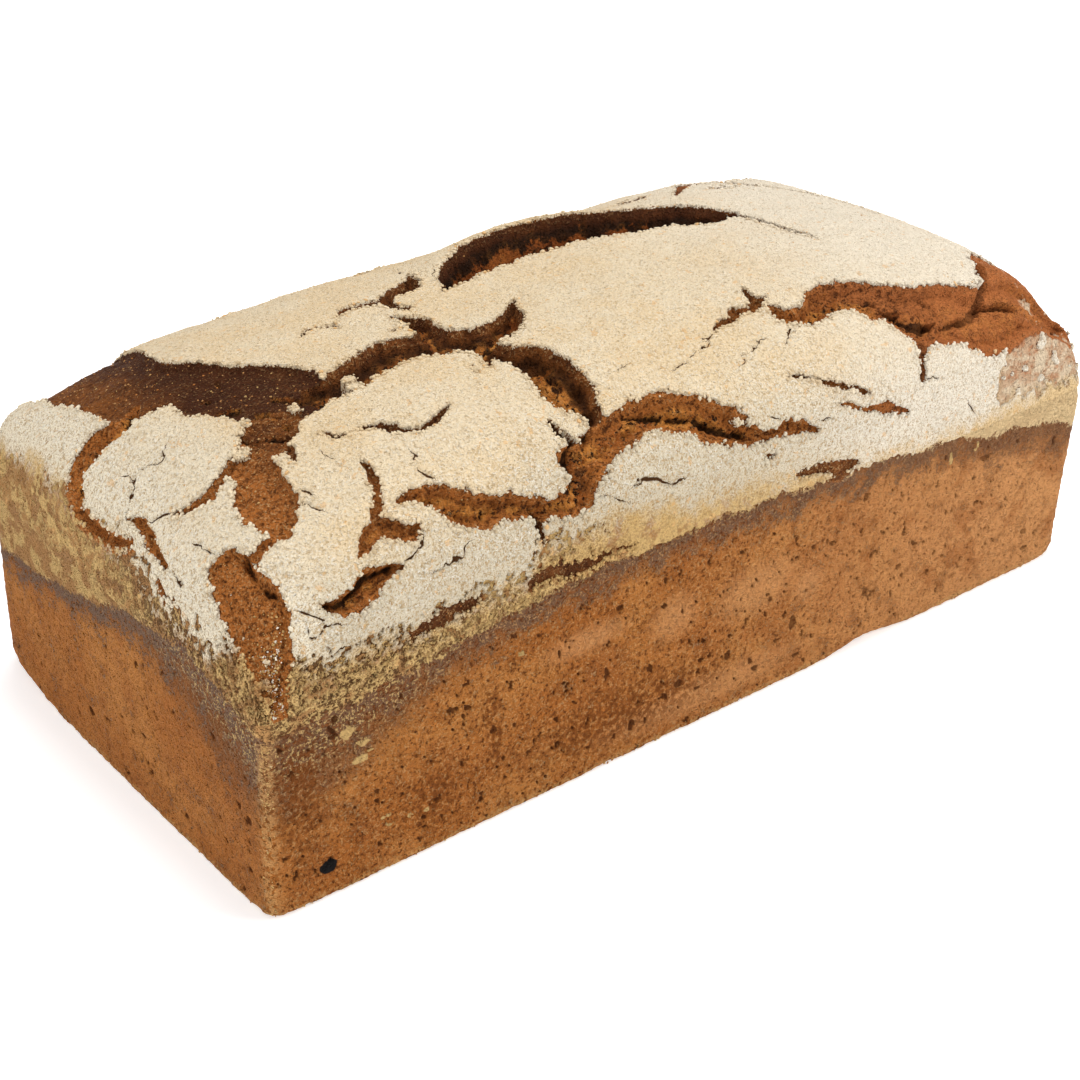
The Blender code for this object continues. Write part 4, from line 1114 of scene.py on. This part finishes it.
def flouryColour(m, rise, clumps, place):
    # Cream above, whiter low down and to the right (to the right partly painted light), then the damp tan strip at the
    # lower edge.
    look = flourLook
    fine, patch = m.noise(0.5, 2, 0.6), m.noise(5, 3, 0.65)
    colour = m.mix(m.ramp(m.noise(16, 2), 0.38, 0.62), look["cream"], look["pale"])
    along = m.node("ShaderNodeSeparateXYZ", None, {0: place})
    # Whiter to the right: partly whiter flour, partly painted light from the lamp's side.
    colour = m.mix(m.ramp(along, 0.01, 0.09, 0, 0.8), colour, look["white"])
    left = m.ramp(along, -0.092, -0.103)
    colour = m.mix(left * 0.5, colour, look["leftWhite"])
    front = m.ramp(along, -0.110, -0.100) * m.ramp(along, 0.06, 0.0)
    lowest = m.mix(front, m.mix(left, look["white"], look["leftWhite"]), look["lowWhite"])
    colour = m.mix(m.ramp(rise, 26, 8), colour, lowest)
    damp = m.mix(m.ramp(along, -0.02, 0.06), look["damp"], bakedLook["dampPale"])
    brown = m.ramp(patch + m.ramp(along, -0.111, -0.118, 0, 0.08), 0.52, 0.62, 0, 0.8) * m.ramp(along, 0.06, -0.02, 0.2, 1)
    damp = m.mix(brown, damp, bakedLook["dampBrown"])
    damp = m.mix(m.ramp(fine, 0.50, 0.42) * (clumps * 0.7 + 0.12), damp, look["dampDark"])
    return m.mix(m.ramp(rise + (patch - 0.5) * 12 + (fine - 0.5) * 10, 4, -4), colour, damp)


def flourMaterial():
    m = Maker("flourCoat")
    look = flourLook
    clear, rise, across, grain, clumps = (m.attribute(k) for k in ("clear", "flourRise", "across", "grain", "clumps"))
    coarse, fine = m.noise(1.0, 3, 0.6), m.noise(0.5, 2, 0.6)
    colour = flouryColour(m, rise, clumps, m.place())
    along = m.node("ShaderNodeSeparateXYZ", None, {0: m.place()})
    # Painted shade between the grains, in the hollows of the bumps and in fine pits, strongest low on the near side.
    low = m.ramp(rise, 34, 8, 0.55, 1) * m.ramp(along, 0.02, 0.09, 1, 0.45)
    colour = m.mix(m.ramp(coarse, 0.47, 0.35, 0, 0.6) * low, colour, look["tanAndShade"])
    colour = m.mix(m.ramp(grain + (fine - 0.5) * 1.8, 0.62, 0.05, 0, 0.9) * low, colour, look["tanAndShade"])
    colour = m.mix(m.ramp(fine, 0.53, 0.64, 0, 0.75) * low * m.ramp(rise, 1, 9), colour, look["salt"])
    # More painted shade: fine dark dots between the grains.
    colour = m.mix(m.ramp(m.noise(0.35, 2, 0.6), 0.46, 0.36, 0, 0.8) * m.ramp(rise, 30, 8, 0.25, 1), colour, look["tanAndShade"])
    colour = m.mix(m.ramp(m.noise(2.2, 2), 0.64, 0.70, 0, 0.5), colour, look["fleck"])
    colour = m.mix(m.ramp(abs(across), 1.1, 0.5), colour, look["gap"])
    colour = m.mix(m.ramp(clear + (fine - 0.5) * 0.8, 0.16, 0.02), colour, look["under"])
    return m.finish(colour, 0.95, roughRelief(m, 1.0, 0.5, 0.4), {"Specular IOR Level": 0.04})


def grainMaterial():
    # Loose granules: the coat's colour, each a little lighter or darker, some of them flecks of bran.
    m = Maker("flourGrain")
    look = flourLook
    shade = m.attribute("shade")
    colour = flouryColour(m, m.attribute("flourRise"), m.attribute("clumps"), m.place())
    colour = m.mix(m.ramp(shade, 0.35, 0.0, 0, 0.45), colour, look["tanAndShade"])
    colour = m.mix(m.ramp(shade, 0.955, 0.965, 0, 0.8), colour, look["fleck"])
    return m.finish(colour, 0.95, roughRelief(m, 1.0, 0.5, 0.3), {"Specular IOR Level": 0.04})


def crumbMaterial():
    m = Maker("dryCrumb")
    shade, floury = m.attribute("shade"), m.attribute("floury")
    colour = m.mix(shade, crustLook["light"], crustLook["speck"])
    colour = m.mix(m.ramp(floury, 0.2, 0.5), colour, bakedLook["damp"])
    colour = m.mix(m.ramp(floury, 0.65, 0.8), colour, flourLook["white"])
    return m.finish(colour, 0.9, roughRelief(m, 1.0, 0.5, 0.3), {"Specular IOR Level": 0.04})


def dress(pieces, material):
    for piece in pieces:
        piece.data.materials.append(material)


dress([wallCrust], wallMaterial())
dress(crustPieces, crustMaterial())
dress(flourPieces, flourMaterial())
dress(grainPieces, grainMaterial())
dress([dryCrumbs], crumbMaterial())
print("materials ready")


studio = {
    "floorSize": 6.0, "floorColour": (0.90, 0.90, 0.90), "floorGlow": 0.47,
    "world": (1.0, 1.0, 1.0), "worldStrength": 0.55,
    "lights": {  # place, size and power
        "key": ((0.22, 0.14, 1.30), 0.6, 10.6),
        "fill": ((0.50, -0.60, 0.45), 0.4, 2.9),
        "side": ((-0.60, -0.20, 0.35), 0.4, 1.2),
    },
    "cameraYaw": 50.67, "cameraPitch": 31.32, "cameraRoll": 1.49, "cameraDistance": 0.5270, "lens": 73.3,
    "cameraAim": (0.0, 0.0, 0.0288), "cameraSideways": -0.0031, "cameraUp": -0.0104,
}


def buildStudio():
    half = studio["floorSize"] / 2
    mesh = bpy.data.meshes.new("floor")
    mesh.from_pydata([(-half, -half, 0), (half, -half, 0), (half, half, 0), (-half, half, 0)], [], [(0, 1, 2, 3)])
    floor = bpy.data.objects.new("floor", mesh)
    bpy.context.scene.collection.objects.link(floor)
    m = Maker("paleFloor")
    shader = m.node("ShaderNodeBsdfPrincipled", None,
                    {"Base Color": studio["floorColour"], "Roughness": 0.9, "Emission Color": studio["floorColour"],
                     "Emission Strength": studio["floorGlow"]}, "BSDF")
    m.node("ShaderNodeOutputMaterial", None, {"Surface": shader})
    mesh.materials.append(m.material)

    world = bpy.data.worlds.new("studio")
    world.use_nodes = True
    world.node_tree.nodes["Background"].inputs["Color"].default_value = (*studio["world"], 1)
    world.node_tree.nodes["Background"].inputs["Strength"].default_value = studio["worldStrength"]
    bpy.context.scene.world = world
    for name, (place, size, power) in studio["lights"].items():
        light = bpy.data.lights.new(name, "AREA")
        light.shape, light.size, light.energy = "DISK", size, power
        holder = bpy.data.objects.new(name, light)
        holder.location = place
        holder.rotation_euler = (Vector((0, 0, 0.04)) - Vector(place)).to_track_quat("-Z", "Y").to_euler()
        bpy.context.scene.collection.objects.link(holder)
    bpy.context.scene.view_settings.view_transform = "Standard"


def buildCamera():
    yaw, pitch, roll = (math.radians(studio[k]) for k in ("cameraYaw", "cameraPitch", "cameraRoll"))
    forward = Vector((math.cos(pitch) * math.cos(yaw), math.cos(pitch) * math.sin(yaw), -math.sin(pitch)))
    right = forward.cross(Vector((0, 0, 1))).normalized()
    up = right.cross(forward)
    place = (Vector(studio["cameraAim"]) - forward * studio["cameraDistance"] + right * studio["cameraSideways"]
             + up * studio["cameraUp"])
    turnedRight = right * math.cos(roll) + up * math.sin(roll)
    turnedUp = up * math.cos(roll) - right * math.sin(roll)
    turn = Matrix((turnedRight, turnedUp, -forward)).transposed().to_4x4()
    data = bpy.data.cameras.new("camera")
    data.lens, data.sensor_width = studio["lens"], 36
    camera = bpy.data.objects.new("camera", data)
    camera.matrix_world = Matrix.Translation(place) @ turn
    bpy.context.scene.collection.objects.link(camera)
    bpy.context.scene.camera = camera


buildStudio()
buildCamera()
print("studio ready")
